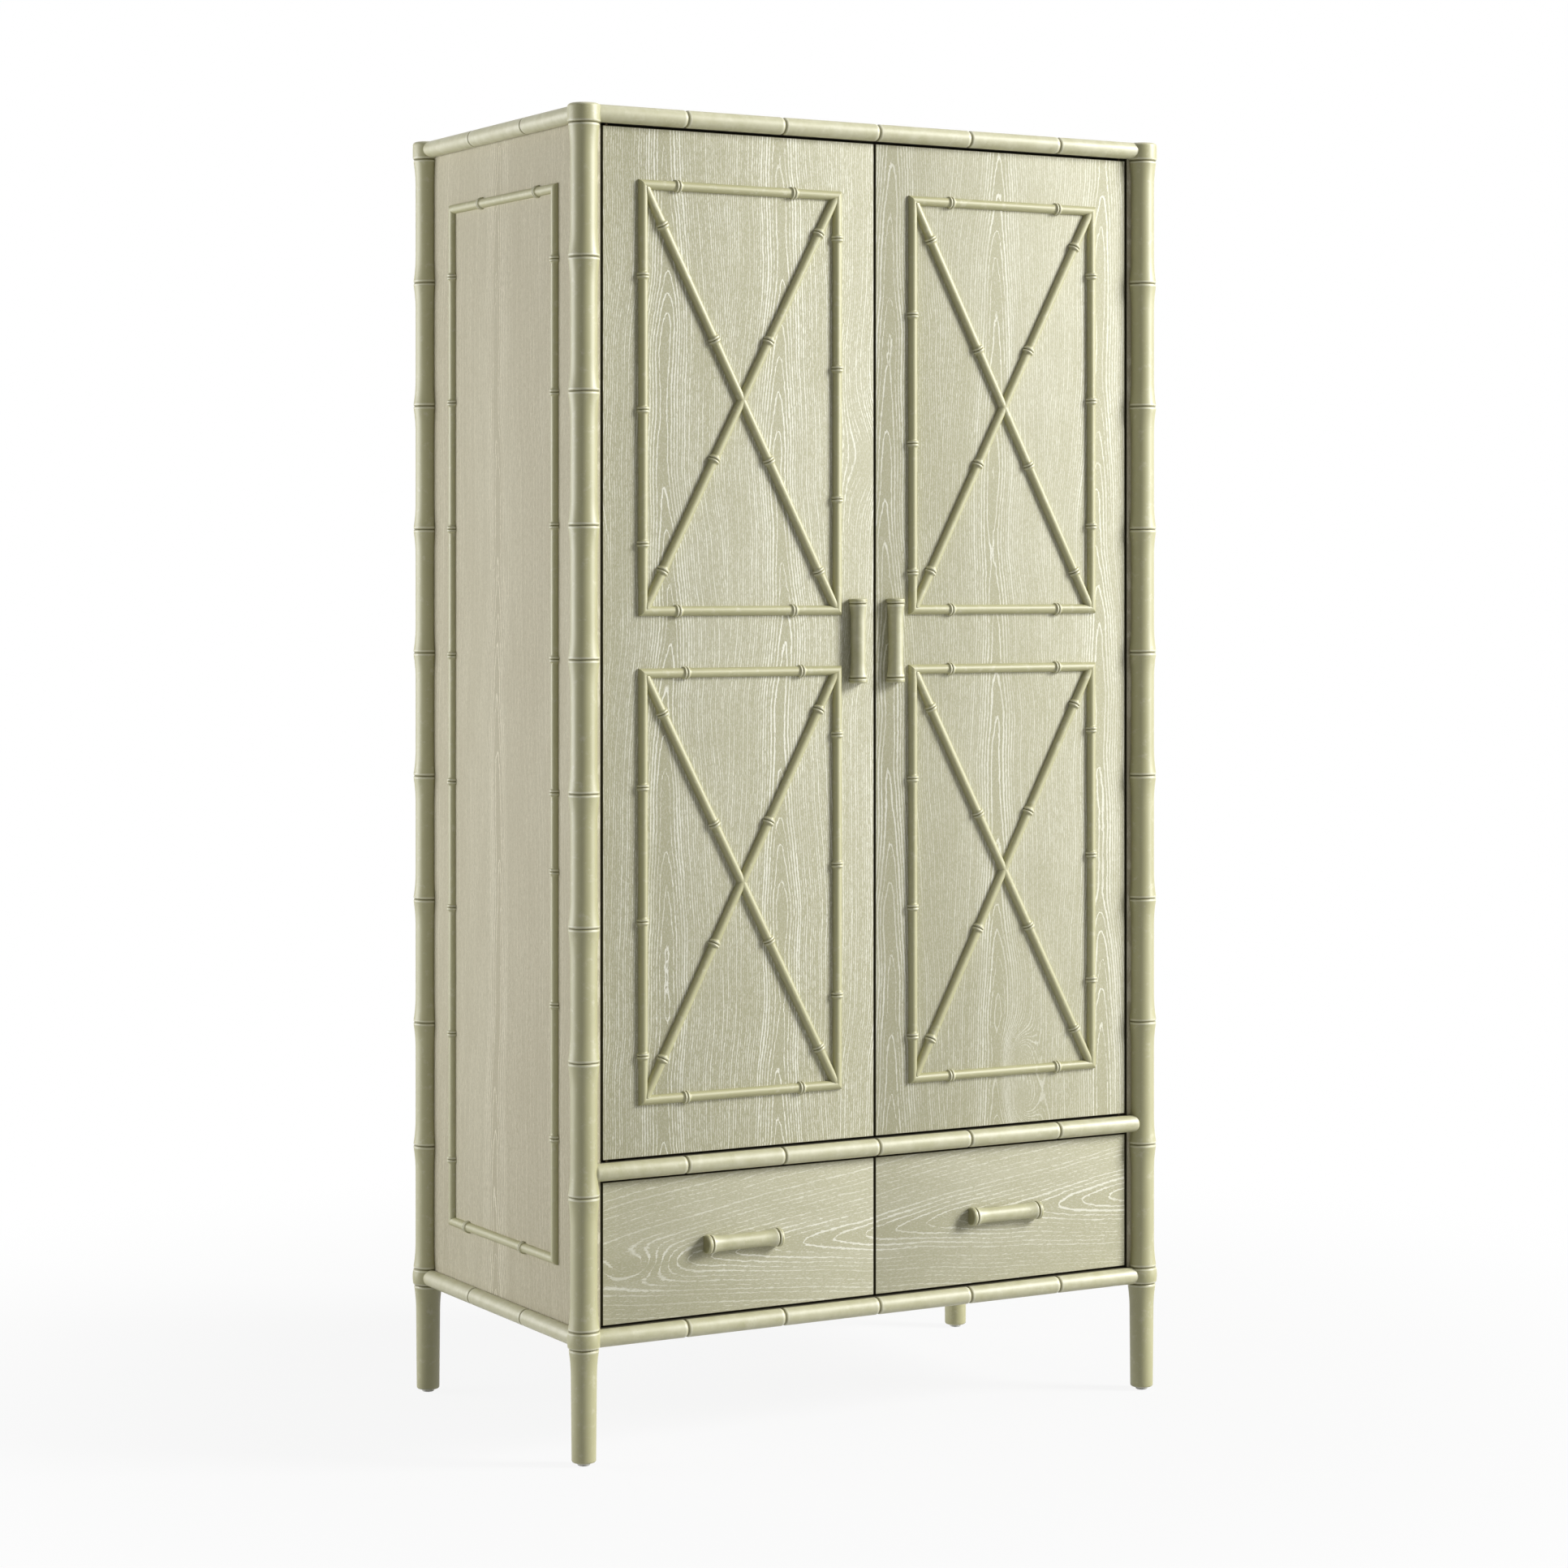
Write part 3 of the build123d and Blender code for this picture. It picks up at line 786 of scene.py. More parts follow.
def eased_board(low: Vector, high: Vector, ease: float, rim: float) -> BMesh:
    """A board with its edges eased by hand, and its rims marked for painted shade.

    Args:
        low: Lowest corner, in metres.
        high: Highest corner, in metres.
        ease: Radius of the edges, in millimetres.
        rim: How far behind a face a rim starts, as a share of the ease.

    Returns:
        The board's bmesh.
    """
    work = bmesh.new()
    bmesh.ops.create_cube(work, size=1.0)
    bmesh.ops.scale(work, vec=high - low, verts=work.verts)
    bmesh.ops.translate(work, vec=(low + high) / 2, verts=work.verts)
    bmesh.ops.bevel(
        work, geom=list(work.edges), offset=ease * MM, segments=3, profile=0.5, affect="EDGES"
    )
    layer = work.verts.layers.float.new("gap_shade_mark")
    # Painted shade: the mark covers the rims back from both faces, which a closed door's gaps hide in
    # shade.
    for vert in work.verts:
        inside = min(vert.co.y - low.y, high.y - vert.co.y)
        vert[layer] = 1.0 if inside > rim * ease * MM else 0.0
    return work


def spread(length: float, count: int, bias: float = 1.0) -> list[float]:
    """Distances from 0 to a length in a count of steps, closer together near 0 by the bias."""
    return [length * (step / count) ** bias for step in range(count + 1)]


def rounding(radius: float, steps: int = ROUND_STEPS) -> list[tuple[float, float, float]]:
    """Each point of a quarter round: its turn, how far in it is, and how far short of the end."""
    turns = spread(math.pi / 2, steps)
    return [(turn, radius * (1 - math.cos(turn)), radius * (1 - math.sin(turn))) for turn in turns]


@dataclass(frozen=True)
class Groove:
    """A turned groove, by the distance from its middle: lips paler as rubbed wear and painted
    highlight, and painted shade in the groove.
    """

    depth: float
    half: float
    power: float = 1.4
    lip_at: float = 2.6
    lip_half: float = 1.5
    lip_tone: float = 0.9
    floor_tone: float = -1.2

    def share(self, away: float) -> float:
        """How deep the groove is, from 0 to 1."""
        return max(0.0, 1 - away / self.half) ** self.power

    def cut(self, away: float) -> float:
        """How deep the groove is, in millimetres."""
        return self.depth * self.share(away)

    def tone(self, away: float, ground: float = 0.0) -> float:
        """Relief over the ground's own: most on the lips, as rubbed wear and painted highlight, and
        negative in the groove, as painted shade.
        """
        rub_and_highlight = math.exp(-(((away - self.lip_at) / self.lip_half) ** 2))
        return ground + (self.lip_tone - ground) * rub_and_highlight + (self.floor_tone - ground) * self.share(away)


# Turned posts


@dataclass(frozen=True)
class PostLevels:
    """Heights of a post's foot, of the case's foot and floor, and of the post's top."""

    foot: float
    case_foot: float
    floor: float
    top: float


@dataclass
class CornerPosts:
    """The four turned posts: foot, leg, collar, nine bamboo joints and a cap."""

    paint: Material
    waist: float = 19.3
    lip: float = 23.0
    flare: float = 44.0
    flare_power: float = 2.2
    flare_steps: int = 15
    groove: Groove = Groove(2.2, 2.4)
    internodes: int = 9
    cap_height: float = 27.5
    cap: float = 23.6
    cap_lead: float = 6.0
    cap_groove: Groove = Groove(2.2, 2.4, lip_at=2.2, lip_half=1.4, lip_tone=0.8)
    cap_round: float = 5.0
    cap_steps: int = 8
    cap_tone: float = 0.45
    collar: float = 23.9
    collar_bulge: float = 1.4
    collar_steps: int = 24
    collar_edge: float = 0.84
    collar_power: float = 1.5
    collar_dip: float = 0.9
    pale_band_at: float = 0.80
    pale_band_half: float = 0.10
    pale_band_tone: float = 0.7
    leg: float = 18.5
    leg_lip: float = 21.9
    foot: float = 17.5
    foot_round: float = 3.0
    foot_tone: float = 0.3
    rabbet: float = 1.5
    segments: int = 64

    def node_radius(self, away: float, waist: float, lip: float) -> Span:
        """Radius and relief at a distance from the groove of a joint of the bamboo."""
        swell = max(0.0, 1 - away / self.flare) ** self.flare_power
        return waist + (lip - waist) * swell - self.groove.cut(away), self.groove.tone(away)

    def joint(self, middle: float, waist: float, lip: float) -> Rings:
        """Rings through one joint, from flare to flare.

        Args:
            middle: Height of the groove.
            waist: Radius below and above.
            lip: Radius of the lips.

        Returns:
            The rings in order of height.
        """
        steps = spread(self.flare, self.flare_steps, bias=2.0)
        below = [(middle - away, *self.node_radius(away, waist, lip)) for away in reversed(steps)]
        above = [(middle + away, *self.node_radius(away, waist, lip)) for away in steps[1:]]
        return below + above

    def barrel(self, low: float, high: float) -> Rings:
        """Rings of the collar between two grooves.

        Args:
            low: Height of its lower groove.
            high: Height of its upper groove.

        Returns:
            The rings in order of height.
        """
        rings: Rings = []
        for step in range(1, self.collar_steps):
            share = step / self.collar_steps
            lean = abs(2 * share - 1)
            edge = max(0.0, lean - self.collar_edge) / (1 - self.collar_edge)
            rub_and_highlight = math.exp(-(((lean - self.pale_band_at) / self.pale_band_half) ** 2))
            dip = self.groove.depth * edge**self.collar_power
            radius = self.collar - self.collar_bulge * lean**2 - dip
            # Collar tone: a pale band near each end, as rubbed wear and painted highlight, and
            # painted shade where it dips into the grooves.
            tone = self.pale_band_tone * rub_and_highlight - self.collar_dip * edge
            rings.append((low + (high - low) * share, radius, tone))
        return rings

    def profile(self, levels: PostLevels) -> tuple[Rings, range]:
        """The whole half section of a post.

        Args:
            levels: Heights along the post.

        Returns:
            The rings, and which of them are cut round the case's corner.
        """
        # The foot's round-over is paler, as rubbed wear and painted highlight.
        rings: Rings = [
            (levels.foot + rise, self.foot - inset, self.foot_tone * math.sin(2 * turn))
            for turn, rise, inset in rounding(self.foot_round)
        ]
        ankle = levels.foot + self.foot_round
        knee = levels.case_foot - self.flare
        for share in spread(1.0, ROUND_STEPS)[1:-1]:
            radius = self.foot + (self.leg - self.foot) * share
            rings.append((ankle + (knee - ankle) * share, radius, 0.0))
        under = self.joint(levels.case_foot, self.leg, self.leg_lip)
        rings += [ring for ring in under if ring[0] <= levels.case_foot]
        rings += self.barrel(levels.case_foot, levels.floor)
        cap_low = levels.top - self.cap_height
        pitch = (cap_low - levels.floor) / self.internodes
        first = len(rings)
        for number in range(self.internodes + 1):
            middle = levels.floor + number * pitch
            turned = self.joint(middle, self.waist, self.lip)
            if number == 0:
                turned = [ring for ring in turned if ring[0] >= middle]
                turned.insert(0, turned[0])
            if number == self.internodes:
                turned = [ring for ring in turned if ring[0] <= middle]
                turned.append(turned[-1])
            rings += turned
        last = len(rings) - 1
        groove = self.cap_groove
        for away in spread(self.cap_lead, ROUND_STEPS, bias=1.6)[1:]:
            rings.append((cap_low + away, self.cap - groove.cut(away), groove.tone(away)))
        for turn, inset, drop in rounding(self.cap_round, self.cap_steps):
            # The cap's round-over is paler, as rubbed wear and painted highlight.
            tone = self.cap_tone * math.sin(2 * turn)
            rings.append((levels.top - drop, self.cap - inset, tone))
        return rings, range(first + 1, last)

    def build(self) -> None:
        """Turn and place all four posts."""
        case_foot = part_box("bottom_board")[0].z / MM
        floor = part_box("bottom_board")[1].z / MM
        for side in Side:
            for end, toward_middle in (("front", 1), ("back", -1)):
                node = f"{end}_{side.label}_post"
                low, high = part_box(node)
                rings, cut = self.profile(PostLevels(low.z / MM, case_foot, floor, high.z / MM))
                shape = partial(self.cut_corner, cut, (-side.value, toward_middle))
                work = bmesh.new()
                lathe(work, rings, upright_axis(node), UP, RIGHTWARD, self.segments, shape)
                link_piece(f"turned_{node}", work, self.paint, "case", node)

    def cut_corner(
        self, cut: range, inward: tuple[int, int], ring: int, turn: float, radius: float
    ) -> Span:
        """Where a point of a ring goes when the case's corner stands in the post.

        Args:
            cut: The rings that the corner reaches.
            inward: Signs of X and Y towards the middle of the case.
            ring: The ring's index.
            turn: The point's angle about the post.
            radius: The ring's radius.

        Returns:
            The point's X and Y from the post's axis.
        """
        x, y = radius * math.cos(turn), radius * math.sin(turn)
        deep_x, deep_y = x * inward[0], y * inward[1]
        if ring not in cut or deep_x <= self.rabbet or deep_y <= self.rabbet:
            return x, y
        edge = math.sqrt(radius**2 - self.rabbet**2)
        margin = math.asin(self.rabbet / radius)
        share = (math.atan2(deep_y, deep_x) - margin) / (math.pi / 2 - 2 * margin)
        if share < 0.5:
            deep_x = edge + (self.rabbet - edge) * share * 2
            deep_y = self.rabbet
        else:
            deep_x = self.rabbet
            deep_y = self.rabbet + (edge - self.rabbet) * (share * 2 - 1)
        return deep_x * inward[0], deep_y * inward[1]


@dataclass
class CaseRails:
    """Half-round rails on the case's edges, grooved like bamboo."""

    paint: Material
    radius: float = 12.7
    groove: Groove = Groove(1.7, 3.4, power=1.3, lip_at=3.4)
    joint_reach: float = 14.0
    joint_steps: int = 9
    front_joints: int = 6
    side_joints: int = 3
    end_inset: float = 12.0
    end_round: float = 6.0
    # Relief all along the rail: paler paint, as rubbed wear and as painted sheen.
    rubbed_and_sheen: float = 0.42
    back_shade: float = 1.8
    segments: int = 48

    def profile(self, length: float, joints: int, pitch: float) -> Rings:
        """Rings of a rail, with a groove at each joint.

        Args:
            length: The rail's length.
            joints: How many lengths of bamboo it shows.
            pitch: Distance between joints.

        Returns:
            The rings in order.
        """
        rounded: Rings = [
            (along, self.radius - inset, self.rubbed_and_sheen) for _, along, inset in rounding(self.end_round)
        ]
        rings = list(rounded)
        steps = spread(self.joint_reach, self.joint_steps, bias=1.9)
        offsets = [-away for away in reversed(steps)] + steps[1:]
        for joint in range(1, joints):
            middle = length / 2 + (joint - joints / 2) * pitch
            for offset in offsets:
                radius = self.radius - self.groove.cut(abs(offset))
                rings.append((middle + offset, radius, self.groove.tone(abs(offset), self.rubbed_and_sheen)))
        return rings + [(length - along, radius, tone) for along, radius, tone in reversed(rounded)]

    def build(self) -> None:
        """Turn every rail between the posts that carry it."""
        span = upright_axis("back_right_post") - upright_axis("front_left_post")
        span_x, span_y = abs(span.x) / MM, abs(span.y) / MM
        for level in ("top", "middle", "bottom"):
            self._rail(f"front_{level}_rail", RIGHTWARD, FORWARD, span_x, self.front_joints)
        for side in Side:
            for level in ("top", "bottom"):
                node = f"{side.label}_{level}_rail"
                self._rail(node, BACKWARD, RIGHTWARD * side.value, span_y, self.side_joints)

    def _rail(self, node: str, along: Vector, out: Vector, span: float, joints: int) -> None:
        """Turn one rail in its node's place and plane its back flat.

        Args:
            node: The rail's node.
            along: Its direction.
            out: Out of the case.
            span: Distance between the axes of the posts that it meets.
            joints: How many lengths of bamboo it shows.
        """
        back, size = planted(node, out)
        centre = back + out * (abs(size.dot(out)) - self.radius * MM)
        length = span - 2 * self.end_inset
        start = centre - along * (length * MM / 2)
        work = bmesh.new()
        lathe(work, self.profile(length, joints, span / joints), start, along, out, self.segments)
        relief = work.verts.layers.float["relief"]
        for vert in work.verts:
            if (centre - vert.co).dot(out) > self.back_shade * MM:
                vert[relief] = -1.0
        cut_flat(work, back, -out)
        link_piece(f"turned_{node}", work, self.paint, "case", node)


# Stick work


@dataclass(frozen=True)
class RingRun:
    """A run of rings along a stick: where the first stands, and how many there are."""

    start: float
    count: int


@dataclass(frozen=True)
class FrameRings:
    """The ring runs of the four sticks of one frame."""

    low_edge: tuple[RingRun, ...]
    high_edge: tuple[RingRun, ...]
    top: tuple[RingRun, ...]
    foot: tuple[RingRun, ...]


class RingTree:
    """Node tree that strings bamboo rings on the points of a mesh."""

    LENGTH = "Ring Length"
    HALF_WIDTH = "Stick Half Width"
    HEIGHT = "Stick Height"
    SWELL = "Bead Swell"
    MATERIAL = "Paint"
    ROUND = 24
    SINK = 0.3 * MM

    BEADS = ((0.0, 0.0), (0.12, 0.08), (0.22, 0.28), (0.26, 0.42), (0.30, 0.88), (0.36, 1.0),
             (0.42, 0.95), (0.46, 0.75), (0.50, 0.22), (0.54, 0.75), (0.58, 0.95), (0.64, 1.0),
             (0.70, 0.88), (0.74, 0.42), (0.78, 0.28), (0.88, 0.08), (1.0, 0.0))
    # Relief along a ring: the beads paler, as rubbed wear and painted highlight, and painted shade in
    # the groove between them.
    TONES = ((0.0, 0.5), (0.26, 0.46), (0.34, 0.82), (0.44, 0.78), (0.47, 0.3), (0.50, 0.05),
             (0.53, 0.3), (0.56, 0.78), (0.66, 0.82), (0.74, 0.46), (1.0, 0.5))

    def __init__(self) -> None:
        """Build the tree."""
        self.tree = bpy.data.node_groups.new("bamboo_rings", "GeometryNodeTree")
        face = self.tree.interface
        face.new_socket("Geometry", in_out="INPUT", socket_type="NodeSocketGeometry")
        kinds = dict.fromkeys((self.LENGTH, self.HALF_WIDTH, self.HEIGHT, self.SWELL), "Float")
        kinds[self.MATERIAL] = "Material"
        self.sockets = {
            name: face.new_socket(name, in_out="INPUT", socket_type=f"NodeSocket{kind}").identifier
            for name, kind in kinds.items()
        }
        face.new_socket("Geometry", in_out="OUTPUT", socket_type="NodeSocketGeometry")
        self._wire(Graph(self.tree))

    @staticmethod
    def _curve(value: Wire, points: Sequence[Span]) -> Wire:
        """Look a value up on a drawn curve.

        Args:
            value: The value.
            points: Points that the curve passes through, in order.

        Returns:
            The curve's height there.
        """
        found = value.graph.node("ShaderNodeFloatCurve", inputs={"Value": value})
        mapping = found.socket.node.mapping
        drawn = mapping.curves[0].points
        drawn[0].location, drawn[-1].location = points[0], points[-1]
        for spot in points[1:-1]:
            drawn.new(*spot)
        mapping.update()
        return found

    def _wire(self, graph: Graph) -> None:
        """Wire the ring's shape, its places and its finish together.

        Args:
            graph: The tree's graph.
        """
        points = graph.node("NodeGroupInput")
        given = points.socket.node.outputs
        length, half_width, height, swell, paint = (Wire(graph, given[name]) for name in self.sockets)
        sizes = {"Vertices": self.ROUND, "Side Segments": self.ROUND, "Radius": 1.0, "Depth": 1.0}
        tube = graph.node("GeometryNodeMeshCylinder", {"fill_type": "NGON"}, sizes, "Mesh")
        x, y, z = graph.parts(graph.node("GeometryNodeInputPosition"))
        share = z + 0.5
        lift = self._curve(share, self.BEADS) * swell
        rise = graph.math("MAXIMUM", y * (height + lift), -self.SINK)
        spot = graph.join(x * (half_width + lift), rise, z * length)
        tone = self._curve(share, self.TONES) * 2.0 - 1.0
        toned = graph.node(
            "GeometryNodeStoreNamedAttribute", {"data_type": "FLOAT", "domain": "POINT"},
            {"Geometry": tube, "Name": "relief", "Value": tone},
        )
        shaped = graph.node("GeometryNodeSetPosition", inputs={"Geometry": toned, "Position": spot})
        turn = graph.node(
            "GeometryNodeInputNamedAttribute", {"data_type": "FLOAT_VECTOR"}, {"Name": "ring_turn"}
        )
        turned = graph.node("FunctionNodeEulerToRotation", inputs={"Euler": turn})
        strung = graph.node(
            "GeometryNodeInstanceOnPoints",
            inputs={"Points": points, "Instance": shaped, "Rotation": turned},
        )
        real = graph.node("GeometryNodeRealizeInstances", inputs={"Geometry": strung})
        painted = graph.node("GeometryNodeSetMaterial", inputs={"Geometry": real, "Material": paint})
        graph.node("NodeGroupOutput", inputs={"Geometry": painted})

    def string(
        self, places: Sequence[tuple[Vector, Vector, Vector]], sizes: dict[str, float],
        material: Material,
    ) -> bpy.types.Mesh:
        """Make the rings at a set of places.

        Args:
            places: Each ring's point, direction along its stick and direction out of the face.
            sizes: The tree's named sizes, in metres.
            material: The rings' paint.

        Returns:
            A plain mesh of all the rings.
        """
        mesh = bpy.data.meshes.new("ring_places")
        mesh.from_pydata([tuple(spot) for spot, _, _ in places], [], [])
        turns = mesh.attributes.new("ring_turn", "FLOAT_VECTOR", "POINT")
        for item, (_, along, out) in zip(turns.data, places):
            basis = Matrix((out.cross(along), out, along)).transposed()
            item.vector = tuple(basis.to_euler())
        carrier = bpy.data.objects.new("ring_places", mesh)
        bpy.context.scene.collection.objects.link(carrier)
        strung = carrier.modifiers.new("rings", "NODES")
        strung.node_group = self.tree
        for name, size in sizes.items():
            strung[self.sockets[name]] = size
        strung[self.sockets[self.MATERIAL]] = material
        evaluated = carrier.evaluated_get(bpy.context.evaluated_depsgraph_get())
        rings = bpy.data.meshes.new_from_object(evaluated)
        carrier.modifiers.remove(strung)
        bpy.data.objects.remove(carrier)
        return rings


@dataclass
class StickWork:
    """Half-round bamboo sticks planted on the doors and sides: mitred frames and crosses."""

    paint: Material
    rings: RingTree = field(default_factory=RingTree)
    width: float = 14.0
    height: float = 8.0
    ring_pitch: float = 192.0
    ring_length: float = 18.0
    ring_swell: float = 2.6
    ring_sink: float = 0.2
    edge_rings: int = 3
    end_rings: int = 2
    cross_rings: tuple[float, ...] = (-280.0, -98.0, 98.0, 280.0)
    cross_tuck: float = 3.5
    arc_steps: int = 14

    def section(self) -> list[tuple[float, float]]:
        """Points of the half-round section, as width from its low edge and height."""
        turns = [math.pi * step / self.arc_steps for step in range(self.arc_steps + 1)]
        return [
            (self.width / 2 * (1 - math.cos(turn)), self.height * math.sin(turn)) for turn in turns
        ]

    def stick(
        self, work: BMesh, corner: Vector, along: Vector, inward: Vector, out: Vector,
        length: float, mitre: float,
    ) -> None:
        """Add one stick to a mesh.

        Args:
            work: The bmesh that takes it.
            corner: Where its outer edge starts.
            along: Its direction.
            inward: From its outer edge to its inner one.
            out: Out of the face that carries it.
            length: Length of its outer edge, in metres.
            mitre: How far the ends lean in, 1 for 45 degrees.
        """
        ends = []
        for start, lean in ((0.0, mitre), (length, -mitre)):
            row = []
            for wide, high in self.section():
                spot = corner + along * (start + lean * wide * MM)
                row.append(work.verts.new(spot + inward * (wide * MM) + out * (high * MM)))
            ends.append(row)
        near, far = ends
        for step in range(self.arc_steps):
            work.faces.new((near[step], near[step + 1], far[step + 1], far[step]))
        work.faces.new((near[-1], near[0], far[0], far[-1]))
        work.faces.new(near)
        work.faces.new(far)

    def frame(
        self, node: str, body: str, right: Vector, out: Vector, runs: FrameRings
    ) -> None:
        """Make a mitred frame with its rings in a node's place.

        Args:
            node: The frame's node.
            body: The body that carries it.
            right: From its low edge to its high edge.
            out: Out of the face.
            runs: Where the rings stand.
        """
        middle, size = planted(node, out)
        wide, tall = abs(size.dot(right)), size.z
        low_corner = middle - right * (wide / 2) - UP * (tall / 2)
        high_corner = low_corner + right * wide
        top_corner = low_corner + UP * tall
        sides = (
            (low_corner, UP, right, tall, runs.low_edge),
            (high_corner, UP, -right, tall, runs.high_edge),
            (low_corner, right, UP, wide, runs.foot),
            (top_corner, right, -UP, wide, runs.top),
        )
        work = bmesh.new()
        places = []
        for corner, along, inward, length, ring_runs in sides:
            self.stick(work, corner, along, inward, out, length, 1.0)
            axis = corner + inward * (self.width / 2 * MM)
            for run in ring_runs:
                for number in range(run.count):
                    away = (run.start + number * self.ring_pitch) * MM
                    places.append((axis + along * away, along, out))
        self.dress(work, node, body, places)

    def cross(self, node: str, body: str, right: Vector, out: Vector) -> None:
        """Make two crossed sticks with their rings in a node's place.

        Args:
            node: The cross's node.
            body: The body that carries it.
            right: Across the face.
            out: Out of the face.
        """
        middle, size = planted(node, out)
        half_w = abs(size.dot(right)) / 2 + self.cross_tuck * MM
        half_h = size.z / 2 + self.cross_tuck * MM
        reach = math.hypot(half_w, half_h) + self.width * MM
        joined = bmesh.new()
        places = []
        for lean in (1, -1):
            along = (right * (lean * half_w) + UP * half_h).normalized()
            inward = out.cross(along)
            corner = middle - along * reach - inward * (self.width / 2 * MM)
            work = bmesh.new()
            self.stick(work, corner, along, inward, out, 2 * reach, 0.0)
            for way, distance in ((right, half_w), (-right, half_w), (UP, half_h), (-UP, half_h)):
                cut_flat(work, middle + way * distance, way)
            clipped = bpy.data.meshes.new("diagonal")
            work.to_mesh(clipped)
            work.free()
            joined.from_mesh(clipped)
            bpy.data.meshes.remove(clipped)
            places += [(middle + along * (away * MM), along, out) for away in self.cross_rings]
        self.dress(joined, node, body, places)

    def dress(
        self, work: BMesh, node: str, body: str,
        places: Sequence[tuple[Vector, Vector, Vector]],
    ) -> None:
        """String rings on finished sticks and put them on their body.

        Args:
            work: The sticks.
            node: The node that they stand for.
            body: The body that carries them.
            places: Where the rings stand.
        """
        sizes = {
            RingTree.LENGTH: self.ring_length * MM,
            RingTree.HALF_WIDTH: (self.width / 2 - self.ring_sink) * MM,
            RingTree.HEIGHT: (self.height - self.ring_sink) * MM,
            RingTree.SWELL: self.ring_swell * MM,
        }
        rings = self.rings.string(places, sizes, self.paint)
        work.verts.layers.float.new("relief")
        work.from_mesh(rings)
        bpy.data.meshes.remove(rings)
        link_piece(f"{node}_sticks", work, self.paint, body, node)

    def build(self) -> None:
        """Make every frame and cross."""
        door_runs = {
            (Side.LEFT, "upper"): (103.5, 170.6, 63.0),
            (Side.LEFT, "lower"): (71.0, 140.0, 76.0),
            (Side.RIGHT, "upper"): (63.0, 134.1, 74.0),
            (Side.RIGHT, "lower"): (71.0, 137.4, 73.0),
        }
        for (side, level), starts in door_runs.items():
            body = f"{side.label}_door"
            counts = (self.edge_rings, self.edge_rings, self.end_rings)
            left, right, end = ((RingRun(start, count),) for start, count in zip(starts, counts))
            runs = FrameRings(left, right, end, end)
            self.frame(f"{body}_{level}_frame", body, RIGHTWARD, FORWARD, runs)
            self.cross(f"{body}_{level}_cross", body, RIGHTWARD, FORWARD)
        side_runs = FrameRings(
            low_edge=(RingRun(181.5, 3), RingRun(679.3, 5)), high_edge=(RingRun(102.0, 8),),
            top=(RingRun(65.7, self.end_rings),), foot=(RingRun(113.2, self.end_rings),),
        )
        for side in Side:
            node = f"{side.label}_side_frame"
            self.frame(node, "case", BACKWARD, RIGHTWARD * side.value, side_runs)


# Doors and drawers


@dataclass
class BarPull:
    """A turned bar pull, flat where it is planted, swelling to a grooved cap at each end."""

    paint: Material
    middle: float = 11.0
    end: float = 13.7
    cap: float = 7.5
    cap_steps: int = 7
    cap_groove: Groove = Groove(2.2, 1.9, lip_at=2.0, lip_half=1.2, lip_tone=0.8)
    flare: float = 24.0
    flare_power: float = 2.0
    flare_steps: int = 16
    groove: Groove = Groove(2.2, 1.9, lip_half=1.4)
    round_over: float = 2.6
    round_tone: float = 0.5
    end_face_shade: float = 0.45
    end_power: int = 8
    # Relief along the bar: paler paint, as rubbed wear and painted sheen.
    rubbed_and_sheen: float = 0.36
    axis_off: float = 6.6
    segments: int = 64

    def profile(self, length: float) -> Rings:
        """Rings of the whole pull.

        Args:
            length: Its length.

        Returns:
            The rings in order along it.
        """
        joint = length / 2 - self.cap
        half: Rings = [(0.0, self.middle, self.rubbed_and_sheen)]
        for away in reversed(spread(self.flare, self.flare_steps, bias=1.8)):
            swell = max(0.0, 1 - away / self.flare) ** self.flare_power
            radius = self.middle + (self.end - self.middle) * swell - self.groove.cut(away)
            half.append((joint - away, radius, self.groove.tone(away, self.rubbed_and_sheen)))
        groove = self.cap_groove
        for away in spread(self.cap - self.round_over, self.cap_steps, bias=1.5)[1:]:
            half.append((joint + away, self.end - groove.cut(away), groove.tone(away)))
        for turn, inset, short in rounding(self.round_over)[1:]:
            # The end's round-over is paler, as rubbed wear and painted highlight, and painted shade
            # darkens the end faces towards their middle.
            end_shade = self.end_face_shade * math.sin(turn) ** self.end_power
            tone = self.round_tone * math.sin(2 * turn) - end_shade
            half.append((length / 2 - short, self.end - inset, tone))
        mirrored = [(-distance, radius, tone) for distance, radius, tone in reversed(half[1:])]
        return mirrored + half

    def build(self, node: str, body: str, along: Vector) -> None:
        """Turn a pull in its node's place.

        Args:
            node: The pull's node.
            body: The body that carries it.
            along: Direction of its axis.
        """
        back, size = planted(node, FORWARD)
        centre = back + FORWARD * (self.axis_off * MM)
        work = bmesh.new()
        rings = self.profile(abs(size.dot(along)) / MM)
        lathe(work, rings, centre, along, FORWARD, self.segments)
        cut_flat(work, back, -FORWARD)
        link_piece(f"turned_{node}", work, self.paint, body, node)


@dataclass
class Fronts:
    """Doors and drawer fronts as eased boards, with their pulls."""

    palette: Palette
    ease: float = 1.2
    rim: float = 0.05

    def build(self) -> None:
        """Make both doors and both drawer fronts."""
        pull = BarPull(self.palette.paint)
        for side in Side:
            door = f"{side.label}_door"
            self._board(door, door, self.palette.doors[side])
            pull.build(f"{door}_pull", door, UP)
            drawer = f"{side.label}_drawer"
            self._board(f"{drawer}_front", drawer, self.palette.fronts[side])
            pull.build(f"{drawer}_pull", drawer, RIGHTWARD)

    def _board(self, node: str, body: str, material: Material) -> None:
        """Ease one board in its node's place."""
        work = eased_board(*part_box(node), self.ease, self.rim)
        link_piece(f"{node}_panel", work, material, body, node)


# Inside, fittings and feet


